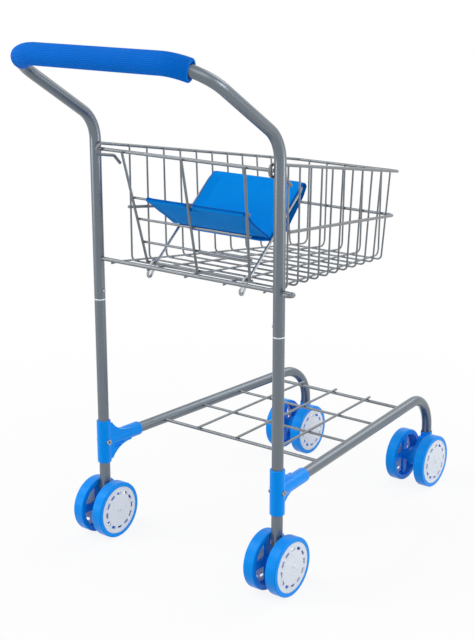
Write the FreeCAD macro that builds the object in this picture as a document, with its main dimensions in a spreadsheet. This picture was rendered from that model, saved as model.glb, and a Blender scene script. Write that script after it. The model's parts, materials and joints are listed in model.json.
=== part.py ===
"""A child's metal shopping trolley with a wire basket and a folding doll seat.

The trolley rolls on eight small wheels: a fixed pair at the foot of each rear leg and a
swivelling pair under each front end. Millimetres, +X to the right, +Y the way it is pushed,
+Z up. The origin lies on the floor, midway between the grip and the front of the wheels.
"""
import FreeCAD, Part
import math
import os
import Sketcher
from FreeCAD import Placement, Rotation, Vector

SIZES = (
    ("tube_diameter", 12.7, "frame tube, outside"),
    ("tube_wall", 1.0, "frame tube, wall"),
    ("post_half_spacing", 124.5, "centre line to a rear post"),
    ("leg_foot_height", 22.0, "lower end of the leg tubes"),
    ("leg_joint_height", 289.5, "where the handle posts meet the legs"),
    ("spigot_length", 26.0, "reduced end of a leg inside its post"),
    ("handle_bend_height", 471.5, "start of the backward bend"),
    ("handle_bend_radius", 40.0, "backward bend, tube centre line"),
    ("handle_reach", 131.0, "posts back to the push bar"),
    ("handle_rise", 104.1, "bend start up to the push bar"),
    ("handle_corner_radius", 45.0, "corners of the push bar"),
    ("grip_diameter", 23.0, "foam grip over its ribs"),
    ("grip_rib_depth", 0.45, "ribs of the grip"),
    ("grip_rib_count", 40, "ribs round the grip"),
    ("grip_gap", 0.3, "grip bore to tube"),
    ("grip_corner_degrees", 42.0, "degrees of each corner that the grip covers"),
    ("wheelbase", 357.0, "rear axle to front axle, casters trailing"),
    ("wheel_diameter", 67.0, "over the tyre"),
    ("tyre_start", 7.7, "pair centre to a tyre's inner face"),
    ("tyre_width", 13.5, "along the axle"),
    ("tyre_depth", 6.0, "radial thickness of the tyre band"),
    ("tyre_round", 1.3, "rounding of the tyre edges"),
    ("spoke_width", 8.5, "each of four spokes"),
    ("spoke_thickness", 3.5, "along the axle"),
    ("spoke_start", 11.0, "pair centre to the spokes' inner face"),
    ("hub_radius", 6.6, "wheel hub"),
    ("hub_gap", 0.25, "wheel hub to tube or housing, and to push nut"),
    ("axle_diameter", 5.0, "all four axles"),
    ("axle_play", 0.07, "running clearance, radial"),
    ("axle_overhang", 3.2, "axle beyond the wheel hub"),
    ("push_nut_diameter", 10.5, "retaining nut"),
    ("push_nut_thickness", 1.4, "retaining nut"),
    ("cap_wall", 1.6, "hub cap"),
    ("cap_inset", 0.2, "hub cap edge below the tyre face"),
    ("cap_dome", 1.2, "rise of the hub cap's middle"),
    ("cap_lip", 1.0, "step in the tyre band that seats the cap"),
    ("cap_slot_ring", 21.4, "radius of the ring of slots"),
    ("cap_slot_length", 6.8, "slot along the ring"),
    ("cap_slot_width", 3.1, "slot across the ring"),
    ("cap_slot_count", 12, "slots in a hub cap"),
    ("cap_boss_radius", 3.3, "middle boss of a hub cap"),
    ("cap_boss_height", 0.6, "boss above the dome"),
    ("cap_recess_radius", 1.9, "recess in the boss"),
    ("cap_recess_depth", 0.9, "recess in the boss"),
    ("caster_trail", 24.0, "swivel axis ahead of the front axle"),
    ("caster_half_spacing", 95.5, "centre line to a swivel axis"),
    ("caster_spread", 6.0, "front wheels further from their pair's centre than rear ones"),
    ("caster_collar_radius", 7.35, "collar round the tube end"),
    ("caster_collar_top", 62.3, "height of the collar"),
    ("caster_collar_recess", 3.0, "depth of the recess for the tube end"),
    ("caster_hub_radius", 11.5, "housing round the axle"),
    ("caster_web_reach", 6.0, "housing below the collar recess, ahead of the swivel axis"),
    ("caster_gap", 0.3, "housing to bush and tube end"),
    ("stem_diameter", 6.0, "swivel pin"),
    ("stem_socket_depth", 20.0, "swivel pin inside the housing"),
    ("stem_head_radius", 3.7, "head that keeps the pin in its bush"),
    ("stem_head_height", 2.4, "head of the swivel pin"),
    ("stem_play", 0.08, "running clearance, radial"),
    ("bush_length", 7.5, "swivel bush inside the tube"),
    ("bush_flange", 1.2, "flange of the swivel bush"),
    ("fit_gap", 0.05, "close fit, radial"),
    ("rail_height", 116.5, "side rails and tee brackets, centre line"),
    ("bracket_length", 52.0, "tee bracket along the leg"),
    ("bracket_wall", 1.9, "tee bracket, wall"),
    ("bracket_reach", 56.0, "socket of the tee bracket, from the leg's axis"),
    ("bracket_web_outer", 2.5, "outer face of the webs, from the leg's axis"),
    ("bracket_web_thickness", 9.5, "webs of the tee bracket, inward from their outer face"),
    ("bracket_web_reach", 38.0, "webs along the socket"),
    ("bracket_web_radius", 34.0, "hollow edge of a web"),
    ("bracket_slot_depth", 1.4, "slots in the inner side of the lower web"),
    ("bracket_edge", 1.2, "rounded rims of the bracket"),
    ("rail_setback", 12.0, "rail end to the leg's axis"),
    ("rivet_diameter", 4.0, "hollow rivet, shank"),
    ("rivet_head_diameter", 6.6, "hollow rivet, head"),
    ("rivet_head_height", 1.0, "hollow rivet, head"),
    ("rivet_bore", 2.2, "hollow rivet, bore"),
    ("rivet_slack", 0.5, "hole in the leg round the rivet, radial"),
    ("plug_length", 9.0, "foot plug inside a leg"),
    ("plug_flange", 1.6, "foot plug below a leg"),
    ("snap_above_joint", 10.5, "snap buttons above the leg joint"),
    ("snap_diameter", 4.2, "snap button"),
    ("snap_rise", 2.0, "snap button proud of the post"),
    ("snap_flange_radius", 2.7, "flange behind the snap button"),
    ("snap_flange_thickness", 0.8, "flange behind the snap button"),
    ("snap_seat", 1.6, "post axis to the back of the flange"),
    ("snap_play", 0.08, "button to its holes, radial"),
    ("clip_thickness", 0.4, "leaf spring behind the button"),
    ("clip_width", 5.0, "leaf spring"),
    ("clip_length", 22.0, "leaf spring, below the button"),
    ("clip_back", 3.3, "post axis to the back leaf"),
    ("shelf_wire_diameter", 4.0, "first and last cross wires of the shelf"),
    ("shelf_middle_diameter", 3.2, "middle cross wires of the shelf"),
    ("shelf_long_diameter", 3.0, "long wires of the shelf"),
    ("shelf_start", 97.5, "first cross wire, ahead of the posts"),
    ("shelf_pitch", 69.0, "cross wire spacing"),
    ("shelf_stub", 5.0, "long wires past the outer cross wires"),
    ("shelf_rear_spread", 57.0, "outer long wires at the back"),
    ("shelf_front_spread", 50.5, "outer long wires at the front"),
    ("shelf_wire_inset", 3.0, "cross wire ends, short of the rail's axis"),
    ("rim_diameter", 3.6, "basket rims"),
    ("basket_wire_diameter", 2.2, "basket floor and sides"),
    ("weld_sink", 0.04, "welded wires let into each other"),
    ("hinge_height", 461.8, "gate hinge wire"),
    ("hinge_diameter", 4.0, "gate hinge wire"),
    ("hook_radius", 6.3, "rim hooks round the hinge wire"),
    ("hook_bend_radius", 5.7, "bends of the rim hooks"),
    ("hook_leg", 21.0, "lower leg of a rim hook, forward of the posts"),
    ("hook_tip", 10.0, "turned-down tip of a rim hook"),
    ("rim_front_reach", 320.8, "top rim at the front, ahead of the posts"),
    ("rim_front_height", 412.0, "top rim at the front"),
    ("rim_front_half_width", 77.0, "top rim corners at the front"),
    ("rim_corner_radius", 12.0, "front corners of both rims"),
    ("middle_start", 37.5, "middle rim ends, ahead of the posts"),
    ("middle_share", 0.535, "middle rim between top rim and floor, at the posts"),
    ("middle_front_share", 0.502, "middle rim between top rim and floor, at the front"),
    ("floor_rear_height", 333.1, "floor cross wires at the posts, extended"),
    ("floor_front_height", 303.4, "floor cross wires below the front rim, extended"),
    ("floor_rear_half_width", 113.9, "floor at the posts, extended"),
    ("floor_front_half_width", 64.0, "floor below the front rim, extended"),
    ("floor_corner_radius", 6.0, "lower corners of the side wires"),
    ("cross_wire_start", 38.0, "first cross wire, ahead of the posts"),
    ("cross_wire_end", 22.8, "last cross wire, behind the front rim"),
    ("cross_wire_count", 11, "U-shaped cross wires"),
    ("wire_end_rise", 1.0, "wire ends above the top rim's axis"),
    ("long_wire_count", 5, "L-shaped long wires"),
    ("long_rear_spread", 105.4, "outer long wires at the back"),
    ("long_front_spread", 53.0, "outer long wires at the front"),
    ("front_lean", 2.4, "front wires, foot behind the top"),
    ("front_corner_radius", 8.0, "long wires turning up at the front"),
    ("rod_above_joint", 47.9, "lock rod, above the leg joint"),
    ("rod_diameter", 4.6, "lock rod"),
    ("rod_play", 0.08, "lock rod in the posts, radial"),
    ("rod_loop_width", 7.4, "finger loop, across its wire axes"),
    ("rod_loop_end", 140.2, "centre line to the finger loop's bend"),
    ("moving_gap", 0.3, "between parts that move past each other"),
    ("gate_lean_degrees", 11.5, "degrees that the gate leans into the basket"),
    ("gate_upright_diameter", 3.0, "slanting wires of the gate"),
    ("gate_cross_diameter", 2.8, "level wires of the gate"),
    ("gate_top_spread", 83.0, "outer slanting wires at the hinge"),
    ("gate_foot_spread", 71.0, "outer slanting wires at the foot"),
    ("gate_first_drop", 51.5, "hinge down to the gate's first level wire"),
    ("gate_second_drop", 75.8, "hinge down to the gate's second level wire"),
    ("gate_third_drop", 102.4, "hinge down to the gate's third level wire"),
    ("seat_wire_diameter", 3.2, "seat frame"),
    ("seat_half_width", 64.0, "centre line to a seat arm"),
    ("seat_eye_degrees", 56.0, "degrees, eye loops against the floor"),
    ("seat_eye_tail", 17.0, "eye loops below their pivot"),
    ("seat_arm_reach", 108.5, "pivot forward to the seat's top bar"),
    ("seat_arm_rise", 86.5, "pivot up to the seat's top bar"),
    ("seat_corner_radius", 11.0, "top corners of the seat frame"),
    ("seat_elbow_radius", 12.0, "bend between an eye loop and its arm"),
    ("back_panel_start", 54.0, "lower edge of the fabric back, along the arms"),
    ("back_panel_foot", 25.0, "deepest line of the fabric back, above its lower edge"),
    ("back_panel_depth", 10.0, "fabric back, front face below the arms at that line"),
    ("back_panel_edge", 3.5, "front face of the fabric back beyond the arms"),
    ("fabric_gap", 0.3, "fabric to wire"),
    ("fabric_thickness", 1.6, "fabric of pan and back"),
    ("rear_layer_half_width", 62.0, "rear layer of the fabric back"),
    ("pan_half_width", 67.0, "fabric seat pan"),
    ("pan_hem_shift", 8.0, "pan's middle at the gate, to the right of the centre line"),
    ("pan_fold_shift", 4.0, "pan's middle at the back, to the left of the centre line"),
)

UPRIGHT = Vector(0, 0, 1)
ACROSS = Vector(1, 0, 0)
SIDES = (("left", -1), ("right", 1))
DOCUMENT = FreeCAD.newDocument("shopping_trolley")
PARTS = []


class Dim:
    """A number from the sheet together with the formula that gives it."""

    def __init__(self, value, text):
        self.value = value
        self.text = text

    def _join(self, sign, other, value):
        return Dim(value, f"({self.text} {sign} {dim(other).text})")

    def __add__(self, other):
        return self._join("+", other, self.value + float(other))

    def __sub__(self, other):
        return self._join("-", other, self.value - float(other))

    def __mul__(self, other):
        return self._join("*", other, self.value * float(other))

    def __truediv__(self, other):
        return self._join("/", other, self.value / float(other))

    def __neg__(self):
        return Dim(-self.value, f"(0 - {self.text})")

    def __float__(self):
        return float(self.value)


def dim(number):
    """The number as a Dim; plain numbers become a plain formula."""
    if isinstance(number, Dim):
        return number
    return Dim(number, repr(number))


class Sizes:
    """The document's spreadsheet, read as one attribute for each alias."""

    def __init__(self, rows):
        self.sheet = DOCUMENT.addObject("Spreadsheet::Sheet", "Sizes")
        for row, (alias, number, meaning) in enumerate(rows, start=1):
            self.sheet.set(f"A{row}", meaning)
            self.sheet.set(f"B{row}", str(number))
            self.sheet.setAlias(f"B{row}", alias)
        DOCUMENT.recompute()
        for alias, _, _ in rows:
            setattr(self, alias, Dim(float(self.sheet.get(alias)), f"Sizes.{alias}"))


S = Sizes(SIZES)


# ---------------------------------------------------------------- document objects

def bind(owner, name, size):
    """Set a property and tie it to the sheet."""
    owner.setExpression(name, dim(size).text)


def place(part, across=0, along=0, height=0, turn=0):
    """Tie the part's place to the sheet; turn is about the vertical, in degrees."""
    part.Placement = Placement(Vector(0, 0, 0), Rotation(UPRIGHT, 1))
    for axis, size in zip("xyz", (across, along, height)):
        bind(part, f"Placement.Base.{axis}", size)
    bind(part, "Placement.Rotation.Angle", turn)


def keep(part, label):
    """Name a finished sub-part and list it for export."""
    part.Label = label
    PARTS.append(part)
    return part


def frame_feature(label, solids):
    """A sub-part of bent tube or wire, modelled from the foot of the rear posts."""
    part = DOCUMENT.addObject("Part::Feature", label)
    part.Shape = solids[0] if len(solids) == 1 else Part.makeCompound(solids)
    from_posts = Placement(Vector(0, float(post_line()), 0), Rotation())
    part.Placement = from_posts.multiply(part.Placement)
    return keep(part, label)


def new_body(label):
    return DOCUMENT.addObject("PartDesign::Body", label)


def origin_item(body, role):
    """One of the body's own base planes or axes."""
    for item in body.Origin.OriginFeatures:
        if item.Role == role:
            return item
    raise KeyError(role)


def new_sketch(body, role, offset=0):
    """A sketch on a base plane, moved along the plane's normal."""
    sketch = body.newObject("Sketcher::SketchObject", "Sketch")
    sketch.AttachmentSupport = [(origin_item(body, role), "")]
    sketch.MapMode = "FlatFace"
    bind(sketch, "AttachmentOffset.Base.z", offset)
    return sketch


def constrain(sketch, kind, references, size):
    """Add a constraint whose value comes from the sheet."""
    index = sketch.addConstraint(Sketcher.Constraint(kind, *references, abs(float(size))))
    text = dim(size).text if float(size) >= 0 else (-dim(size)).text
    sketch.setExpression(f"Constraints[{index}]", text)


def pin_point(sketch, geometry, corner, across, up):
    """Tie a point to the sketch origin; a zero lies on the axis itself."""
    for kind, size in (("DistanceX", across), ("DistanceY", up)):
        if float(size) == 0:
            axis = -2 if kind == "DistanceX" else -1
            sketch.addConstraint(Sketcher.Constraint("PointOnObject", geometry, corner, axis))
            continue
        ends = (-1, 1, geometry, corner) if float(size) > 0 else (geometry, corner, -1, 1)
        constrain(sketch, kind, ends, size)


def add_circle(sketch, radius, across=0, up=0):
    centre = Vector(float(across), float(up), 0)
    index = sketch.addGeometry(Part.Circle(centre, UPRIGHT, float(radius)), False)
    constrain(sketch, "Radius", (index,), radius)
    pin_point(sketch, index, 3, across, up)


def arc_between(start, end, bulge):
    """Arc from start to end that bows to the left of its chord by a positive bulge."""
    middle = (start + end) * 0.5
    chord = end - start
    side = Vector(-chord.y, chord.x, 0).normalize()
    return Part.Arc(start, middle + side * bulge, end)


def add_outline(sketch, corners):
    """Closed outline. A corner is (across, up) or (across, up, bulge of the edge after it)."""
    points = [Vector(float(corner[0]), float(corner[1]), 0) for corner in corners]
    indices = []
    for place_in_list, corner in enumerate(corners):
        start = points[place_in_list]
        end = points[(place_in_list + 1) % len(points)]
        if len(corner) == 3:
            edge = arc_between(start, end, float(corner[2]))
        else:
            edge = Part.LineSegment(start, end)
        indices.append(sketch.addGeometry(edge, False))
    for place_in_list, corner in enumerate(corners):
        index = indices[place_in_list]
        following = indices[(place_in_list + 1) % len(indices)]
        if len(corner) == 3:
            bend_outline_edge(sketch, index, corners, place_in_list)
        shared = points[(place_in_list + 1) % len(points)]
        leave = end_at(sketch, index, shared)
        arrive = end_at(sketch, following, shared)
        sketch.addConstraint(Sketcher.Constraint("Coincident", index, leave, following, arrive))
        pin_point(sketch, index, end_at(sketch, index, points[place_in_list]), *corner[:2])


def end_at(sketch, index, point):
    """Which end of an edge lies at the point: 1 for its start, 2 for its end."""
    distance = (sketch.getPoint(index, 1) - point).Length
    return 1 if distance < (sketch.getPoint(index, 2) - point).Length else 2


def bend_outline_edge(sketch, index, corners, place_in_list):
    """Give an arc of an outline the radius that its chord and bulge make."""
    first = corners[place_in_list]
    second = corners[(place_in_list + 1) % len(corners)]
    run = dim(second[0]) - first[0]
    climb = dim(second[1]) - first[1]
    bulge = dim(first[2])
    radius = ((run * run + climb * climb) / 4 + bulge * bulge) / (bulge * 2)
    constrain(sketch, "Radius", (index,), radius)


def add_feature(body, kind, sketch):
    feature = body.newObject(f"PartDesign::{kind}", kind)
    feature.Profile = sketch
    return feature


def pad(body, sketch, length, both_ways=False, backward=False):
    feature = add_feature(body, "Pad", sketch)
    bind(feature, "Length", length)
    feature.SideType = "Symmetric" if both_ways else "One side"
    feature.Reversed = backward
    return feature


def pocket(body, sketch, length, both_ways=False, backward=False):
    """Cut the sketch and check that it takes material away."""
    DOCUMENT.recompute()
    before = body.Shape.Volume
    feature = add_feature(body, "Pocket", sketch)
    bind(feature, "Length", length)
    feature.SideType = "Symmetric" if both_ways else "One side"
    feature.Reversed = backward
    DOCUMENT.recompute()
    if body.Shape.Volume >= before:
        raise ValueError(f"a pocket of {body.Name} cuts nothing")
    return feature


def revolve(body, sketch, role):
    feature = add_feature(body, "Revolution", sketch)
    feature.ReferenceAxis = (origin_item(body, role), [""])
    feature.Angle = 360
    return feature


def polar_copies(body, feature, role, count):
    pattern = body.newObject("PartDesign::PolarPattern", "Copies")
    pattern.Originals = [feature]
    pattern.Axis = (origin_item(body, role), [""])
    pattern.Angle = 360
    bind(pattern, "Occurrences", count)
    body.Tip = pattern
    return pattern


def round_edges(body, radius, wanted):
    """Fillet the edges of the body's last feature that the test picks out."""
    DOCUMENT.recompute()
    base = body.Tip
    names = [f"Edge{n}" for n, edge in enumerate(base.Shape.Edges, start=1) if wanted(edge)]
    fillet = body.newObject("PartDesign::Fillet", "Fillet")
    fillet.Base = (base, names)
    bind(fillet, "Radius", radius)
    return fillet


def cylinder(diameter, length, across=0, along=0, height=0, axis=UPRIGHT):
    """Bound cylinder whose middle lies at the given place."""
    part = DOCUMENT.addObject("Part::Cylinder", "Cylinder")
    bind(part, "Radius", dim(diameter) / 2)
    bind(part, "Height", length)
    part.Placement = Placement(Vector(0, 0, 0), Rotation(UPRIGHT, axis))
    back = dim(length) / -2
    for name, share, size in zip("xyz", axis, (across, along, height)):
        bind(part, f"Placement.Base.{name}", back * float(share) + size)
    return part


def difference(base, tool):
    part = DOCUMENT.addObject("Part::Cut", "Cut")
    part.Base = base
    part.Tool = tool
    return part


def united(parts):
    part = DOCUMENT.addObject("Part::MultiFuse", "Fusion")
    part.Shapes = parts
    return part


def group(parts):
    part = DOCUMENT.addObject("Part::Compound", "Group")
    part.Links = parts
    return part


# ---------------------------------------------------------------- bent tube and wire

def bent_path(points, radii):
    """Straight runs through the points with a tangent arc at each inner point."""
    if not isinstance(radii, (list, tuple)):
        radii = [radii] * (len(points) - 2)
    edges = []
    start = points[0]
    for before, corner, after, radius in zip(points, points[1:], points[2:], radii):
        back = (before - corner).normalize()
        ahead = (after - corner).normalize()
        half_angle = back.getAngle(ahead) / 2
        reach = float(radius) / math.tan(half_angle)
        middle = (back + ahead).normalize() * (float(radius) / math.sin(half_angle) - float(radius))
        edges.append(Part.LineSegment(start, corner + back * reach).toShape())
        arc = Part.Arc(corner + back * reach, corner + middle, corner + ahead * reach)
        edges.append(arc.toShape())
        start = corner + ahead * reach
    edges.append(Part.LineSegment(start, points[-1]).toShape())
    return Part.Wire(edges)


def ring_face(centre, normal, outer, inner):
    rings = [Part.Wire(Part.makeCircle(float(size) / 2, centre, normal)) for size in (outer, inner)]
    return Part.makeFace(rings, "Part::FaceMakerBullseye")


def bent_tube(path, outer, inner):
    """Hollow tube along a path."""
    start = path.Edges[0].Vertexes[0].Point
    return path.makePipe(ring_face(start, path.Edges[0].tangentAt(0), outer, inner))


def bent_wire(points, radii, diameter):
    """Round wire along rounded runs."""
    path = bent_path(points, radii)
    profile = Part.Wire(Part.makeCircle(float(diameter) / 2, points[0], points[1] - points[0]))
    return path.makePipeShell([profile], True, False)


def straight_wire(start, end, diameter):
    run = end - start
    return Part.makeCylinder(float(diameter) / 2, run.Length, start, run)


def mirrored(points):
    """The points and then their mirror images, last one first."""
    return points + [Vector(-point.x, point.y, point.z) for point in reversed(points)]


def mix(first, second, share):
    return float(first) + (float(second) - float(first)) * share


# ---------------------------------------------------------------- shared places

def post_line():
    """Rear posts against the origin, which is midway between grip and front tyres."""
    ahead = S.wheelbase + S.wheel_diameter / 2
    behind = S.handle_reach + S.grip_diameter / 2
    return (behind - ahead) / 2


def swivel_line():
    return S.wheelbase + S.caster_trail


def tube_inner():
    return S.tube_diameter - S.tube_wall * 2


def spigot_diameter():
    return tube_inner() - S.fit_gap * 2


def axle_height():
    return S.wheel_diameter / 2


def hub_start():
    return S.tube_diameter / 2 + S.hub_gap


def spoke_end():
    return S.spoke_start + S.spoke_thickness


def axle_half_length():
    return spoke_end() + S.axle_overhang


def tyre_end():
    return S.tyre_start + S.tyre_width


def rail_toe():
    """Degrees by which a side rail turns inward."""
    inward = float(S.post_half_spacing) - float(S.caster_half_spacing)
    return math.degrees(math.atan2(inward, float(swivel_line())))


def rail_axis(along):
    """Distance of a rail's axis from the centre line."""
    return mix(S.post_half_spacing, S.caster_half_spacing, float(along) / float(swivel_line()))


def tube_end_height():
    """Lower end of a side rail, inside its caster's collar."""
    return S.caster_collar_top - S.caster_collar_recess + S.caster_gap + S.bush_flange


def snap_height():
    return S.leg_joint_height + S.snap_above_joint


def hook_x():
    """Rim wire laid against the inner side of a post."""
    return float(S.post_half_spacing - S.tube_diameter / 2 - S.rim_diameter / 2 + S.weld_sink)


def basket_share(along):
    return float(along) / float(S.rim_front_reach)


def rim_rear_height():
    return float(S.hinge_height + S.hook_radius)


def rim_height(along):
    return mix(rim_rear_height(), S.rim_front_height, basket_share(along))


def rim_x(along):
    """Half width between the top rim's axes, straight from the hooks to the front corners."""
    hook = float(S.hook_radius)
    share = (float(along) + hook) / (float(S.rim_front_reach) + hook)
    return mix(hook_x(), S.rim_front_half_width, share)


def floor_height(along):
    """Axis height of the floor's cross wires."""
    return mix(S.floor_rear_height, S.floor_front_height, basket_share(along))


def floor_x(along):
    return mix(S.floor_rear_half_width, S.floor_front_half_width, basket_share(along))


def rod_height():
    return S.leg_joint_height + S.rod_above_joint


def rim_offset():
    """Axis of a rim to the axis of a wire welded to it."""
    return float((S.rim_diameter + S.basket_wire_diameter) / 2 - S.weld_sink)


def side_wire_x(along, share):
    """Side wire of the basket, from the top rim at 0 to the floor at 1."""
    return mix(rim_x(along) - rim_offset(), floor_x(along), share)


def long_wire_height(along):
    """Long floor wires lie on the cross wires."""
    return floor_height(along) + float(S.basket_wire_diameter - S.weld_sink)


def gate_directions():
    """Unit vectors down the gate and out of its rear side."""
    lean = math.radians(float(S.gate_lean_degrees))
    down = Vector(0, math.sin(lean), -math.cos(lean))
    rearward = Vector(0, -math.cos(lean), -math.sin(lean))
    return down, rearward


def gate_offsets():
    """How far the uprights and the level wires stand behind the hinge axis."""
    upright = float((S.hinge_diameter + S.gate_upright_diameter) / 2 - S.weld_sink)
    level = upright - float((S.gate_upright_diameter + S.gate_cross_diameter) / 2 - S.weld_sink)
    return upright, level


def hinge_point():
    return Vector(0, 0, float(S.hinge_height))


def gate_length():
    """Hinge to foot wire, measured down the gate, so that it rests just above the floor."""
    down, rearward = gate_directions()
    level = gate_offsets()[1]
    clear = float((S.basket_wire_diameter + S.gate_cross_diameter) / 2 + S.moving_gap)
    slope = floor_height(1) - floor_height(0)
    start = hinge_point() + rearward * level
    drop = start.z - (long_wire_height(0) + slope * start.y + clear)
    return drop / (slope * down.y - down.z)


def gate_point(length, offset, across=0):
    down, rearward = gate_directions()
    return hinge_point() + down * length + rearward * offset + ACROSS * across


def gate_foot():
    """Axis of the gate's foot wire, which is also the seat's pivot."""
    return gate_point(gate_length(), gate_offsets()[1])


def gate_level(drop):
    """Length down the gate to a level wire at a given drop below the hinge."""
    return float(drop) / math.cos(math.radians(float(S.gate_lean_degrees)))


def seat_point(along, up, across=0):
    """A point given from the seat's pivot."""
    return gate_foot() + Vector(float(across), float(along), float(up))


def eye_radius():
    """Centre line radius of a seat eye round the foot wire."""
    return float((S.gate_cross_diameter + S.seat_wire_diameter) / 2 + S.moving_gap)


def eye_point(length, offset):
    """Along an eye loop from the pivot, and to its rear side."""
    tilt = math.radians(float(S.seat_eye_degrees))
    along = length * math.cos(tilt) - offset * math.sin(tilt)
    up = length * math.sin(tilt) + offset * math.cos(tilt)
    return Vector(0, along, up)


def arm_start():
    return gate_foot() + eye_point(0, -eye_radius())


def arm_end():
    return seat_point(S.seat_arm_reach, S.seat_arm_rise)


def arm_directions():
    """Unit vectors up the seat arms and out of their rear side."""
    up_arm = (arm_end() - arm_start()).normalize()
    return up_arm, Vector(0, -up_arm.z, up_arm.y)


# ---------------------------------------------------------------- handle and legs

def handle_corners():
    """Centre line of the handle tube, from the left joint round to the right one."""
    post = float(S.post_half_spacing)
    bar_height = float(S.handle_bend_height + S.handle_rise)
    turn = handle_turn()
    elbow = float(S.handle_bend_radius) * math.tan(turn / 2)
    return mirrored([
        Vector(-post, 0, float(S.leg_joint_height)),
        Vector(-post, 0, float(S.handle_bend_height) + elbow),
        Vector(-post, -float(S.handle_reach), bar_height),
    ])


def handle_turn():
    """Angle of the backward bend whose straight part ends at the push bar."""
    reach = float(S.handle_reach)
    rise = float(S.handle_rise)
    radius = float(S.handle_bend_radius)
    distance = math.hypot(reach - radius, rise)
    facing = math.atan2(rise, reach - radius)
    slope = facing + math.asin(-radius / distance)
    return math.pi / 2 - slope if slope > 0 else math.pi / 2


def handle_path():
    bend = S.handle_bend_radius
    corner = S.handle_corner_radius
    return bent_path(handle_corners(), [bend, corner, corner, bend])


def cross_drill(shape, across, height, diameter, length, along=0):
    """Drill along X, centred at a place."""
    start = Vector(float(across) - float(length) / 2, float(along), float(height))
    return shape.cut(Part.makeCylinder(float(diameter) / 2, float(length), start, ACROSS))


def build_handle_frame():
    shape = bent_tube(handle_path(), S.tube_diameter, tube_inner())
    hinge_bore = S.hinge_diameter + S.rod_play * 2
    rod_bore = S.rod_diameter + S.rod_play * 2
    snap_bore = S.snap_diameter + S.snap_play * 2
    for _, side in SIDES:
        post = float(S.post_half_spacing) * side
        inner_side = post - float(S.tube_diameter) / 2 * side
        shape = cross_drill(shape, inner_side, S.hinge_height, hinge_bore, S.tube_wall * 4)
        shape = cross_drill(shape, post, rod_height(), rod_bore, S.tube_diameter * 2)
        shape = cross_drill(shape, inner_side, snap_height(), snap_bore, S.tube_wall * 4)
    frame_feature("handle_frame", [shape])


def grip_path():
    """The push bar and the covered part of its two corners."""
    bar = handle_corners()[2]
    below = handle_corners()[1]
    radius = float(S.handle_corner_radius)
    arm = (below - bar).normalize()
    turn = math.radians(float(S.grip_corner_degrees))
    centre = bar + (arm + ACROSS) * radius

    def on_corner(angle):
        return centre - ACROSS * radius * math.sin(angle) - arm * radius * math.cos(angle)

    start, middle, end = on_corner(turn), on_corner(turn / 2), on_corner(0)
    flip = [Vector(-point.x, point.y, point.z) for point in (start, middle, end)]
    edges = [
        Part.Arc(start, middle, end).toShape(),
        Part.LineSegment(end, flip[2]).toShape(),
        Part.Arc(flip[2], flip[1], flip[0]).toShape(),
    ]
    return Part.Wire(edges)


def ribbed_ring(centre, normal):
    """Cross section of the grip: a round bore and a ribbed outside."""
    count = int(float(S.grip_rib_count))
    crest = float(S.grip_diameter) / 2
    valley = crest - float(S.grip_rib_depth)
    turn = Rotation(UPRIGHT, normal)
    corners = []
    for step in range(count * 2):
        angle = math.pi * step / count
        radius = crest if step % 2 == 0 else valley
        flat = Vector(radius * math.cos(angle), radius * math.sin(angle), 0)
        corners.append(centre + turn.multVec(flat))
    outside = Part.makePolygon(corners + corners[:1])
    bore = float(S.tube_diameter) / 2 + float(S.grip_gap)
    inside = Part.Wire(Part.makeCircle(bore, centre, normal))
    return Part.makeFace([outside, inside], "Part::FaceMakerBullseye")


def build_handle_grip():
    path = grip_path()
    start = path.Edges[0].Vertexes[0].Point
    tangent = path.Edges[0].tangentAt(path.Edges[0].FirstParameter)
    frame_feature("handle_grip", [path.makePipe(ribbed_ring(start, tangent))])


def build_leg_tube(label, side):
    """Leg with a reduced spigot on top, drilled for axle, rivet and snap button."""
    body = new_body(label)
    outer = S.tube_diameter / 2
    inner = tube_inner() / 2
    spigot = spigot_diameter() / 2
    spigot_inner = spigot - S.tube_wall
    top = S.leg_joint_height + S.spigot_length
    sketch = new_sketch(body, "XZ_Plane")
    add_outline(sketch, [
        (inner, S.leg_foot_height),
        (outer, S.leg_foot_height),
        (outer, S.leg_joint_height),
        (spigot, S.leg_joint_height),
        (spigot, top),
        (spigot_inner, top),
        (spigot_inner, S.leg_joint_height),
        (inner, S.leg_joint_height - S.tube_wall * 3),
    ])
    revolve(body, sketch, "Z_Axis")
    drills = (
        (axle_height(), S.axle_diameter, True),
        (S.rail_height, S.rivet_diameter + S.rivet_slack * 2, True),
        (snap_height(), S.snap_diameter + S.snap_play * 2, False),
    )
    for height, bore, both_ways in drills:
        hole = new_sketch(body, "YZ_Plane")
        add_circle(hole, dim(bore) / 2, 0, height)
        pocket(body, hole, S.tube_diameter * 2, both_ways=both_ways, backward=not both_ways)
    place(body, S.post_half_spacing * side, post_line(), 0, 0 if side < 0 else 180)
    keep(body, label)


def build_leg_plug(label, side):
    body = new_body(label)
    shank = tube_inner() / 2 - S.fit_gap
    flange = S.tube_diameter / 2
    sketch = new_sketch(body, "XZ_Plane")
    add_outline(sketch, [
        (0, -S.plug_flange),
        (flange - S.plug_flange / 2, -S.plug_flange),
        (flange, -S.plug_flange / 2),
        (flange, 0),
        (shank, 0),
        (shank, S.plug_length - S.plug_flange),
        (0, S.plug_length - S.plug_flange),
    ])
    revolve(body, sketch, "Z_Axis")
    place(body, S.post_half_spacing * side, post_line(), S.leg_foot_height)
    keep(body, label)


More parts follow.
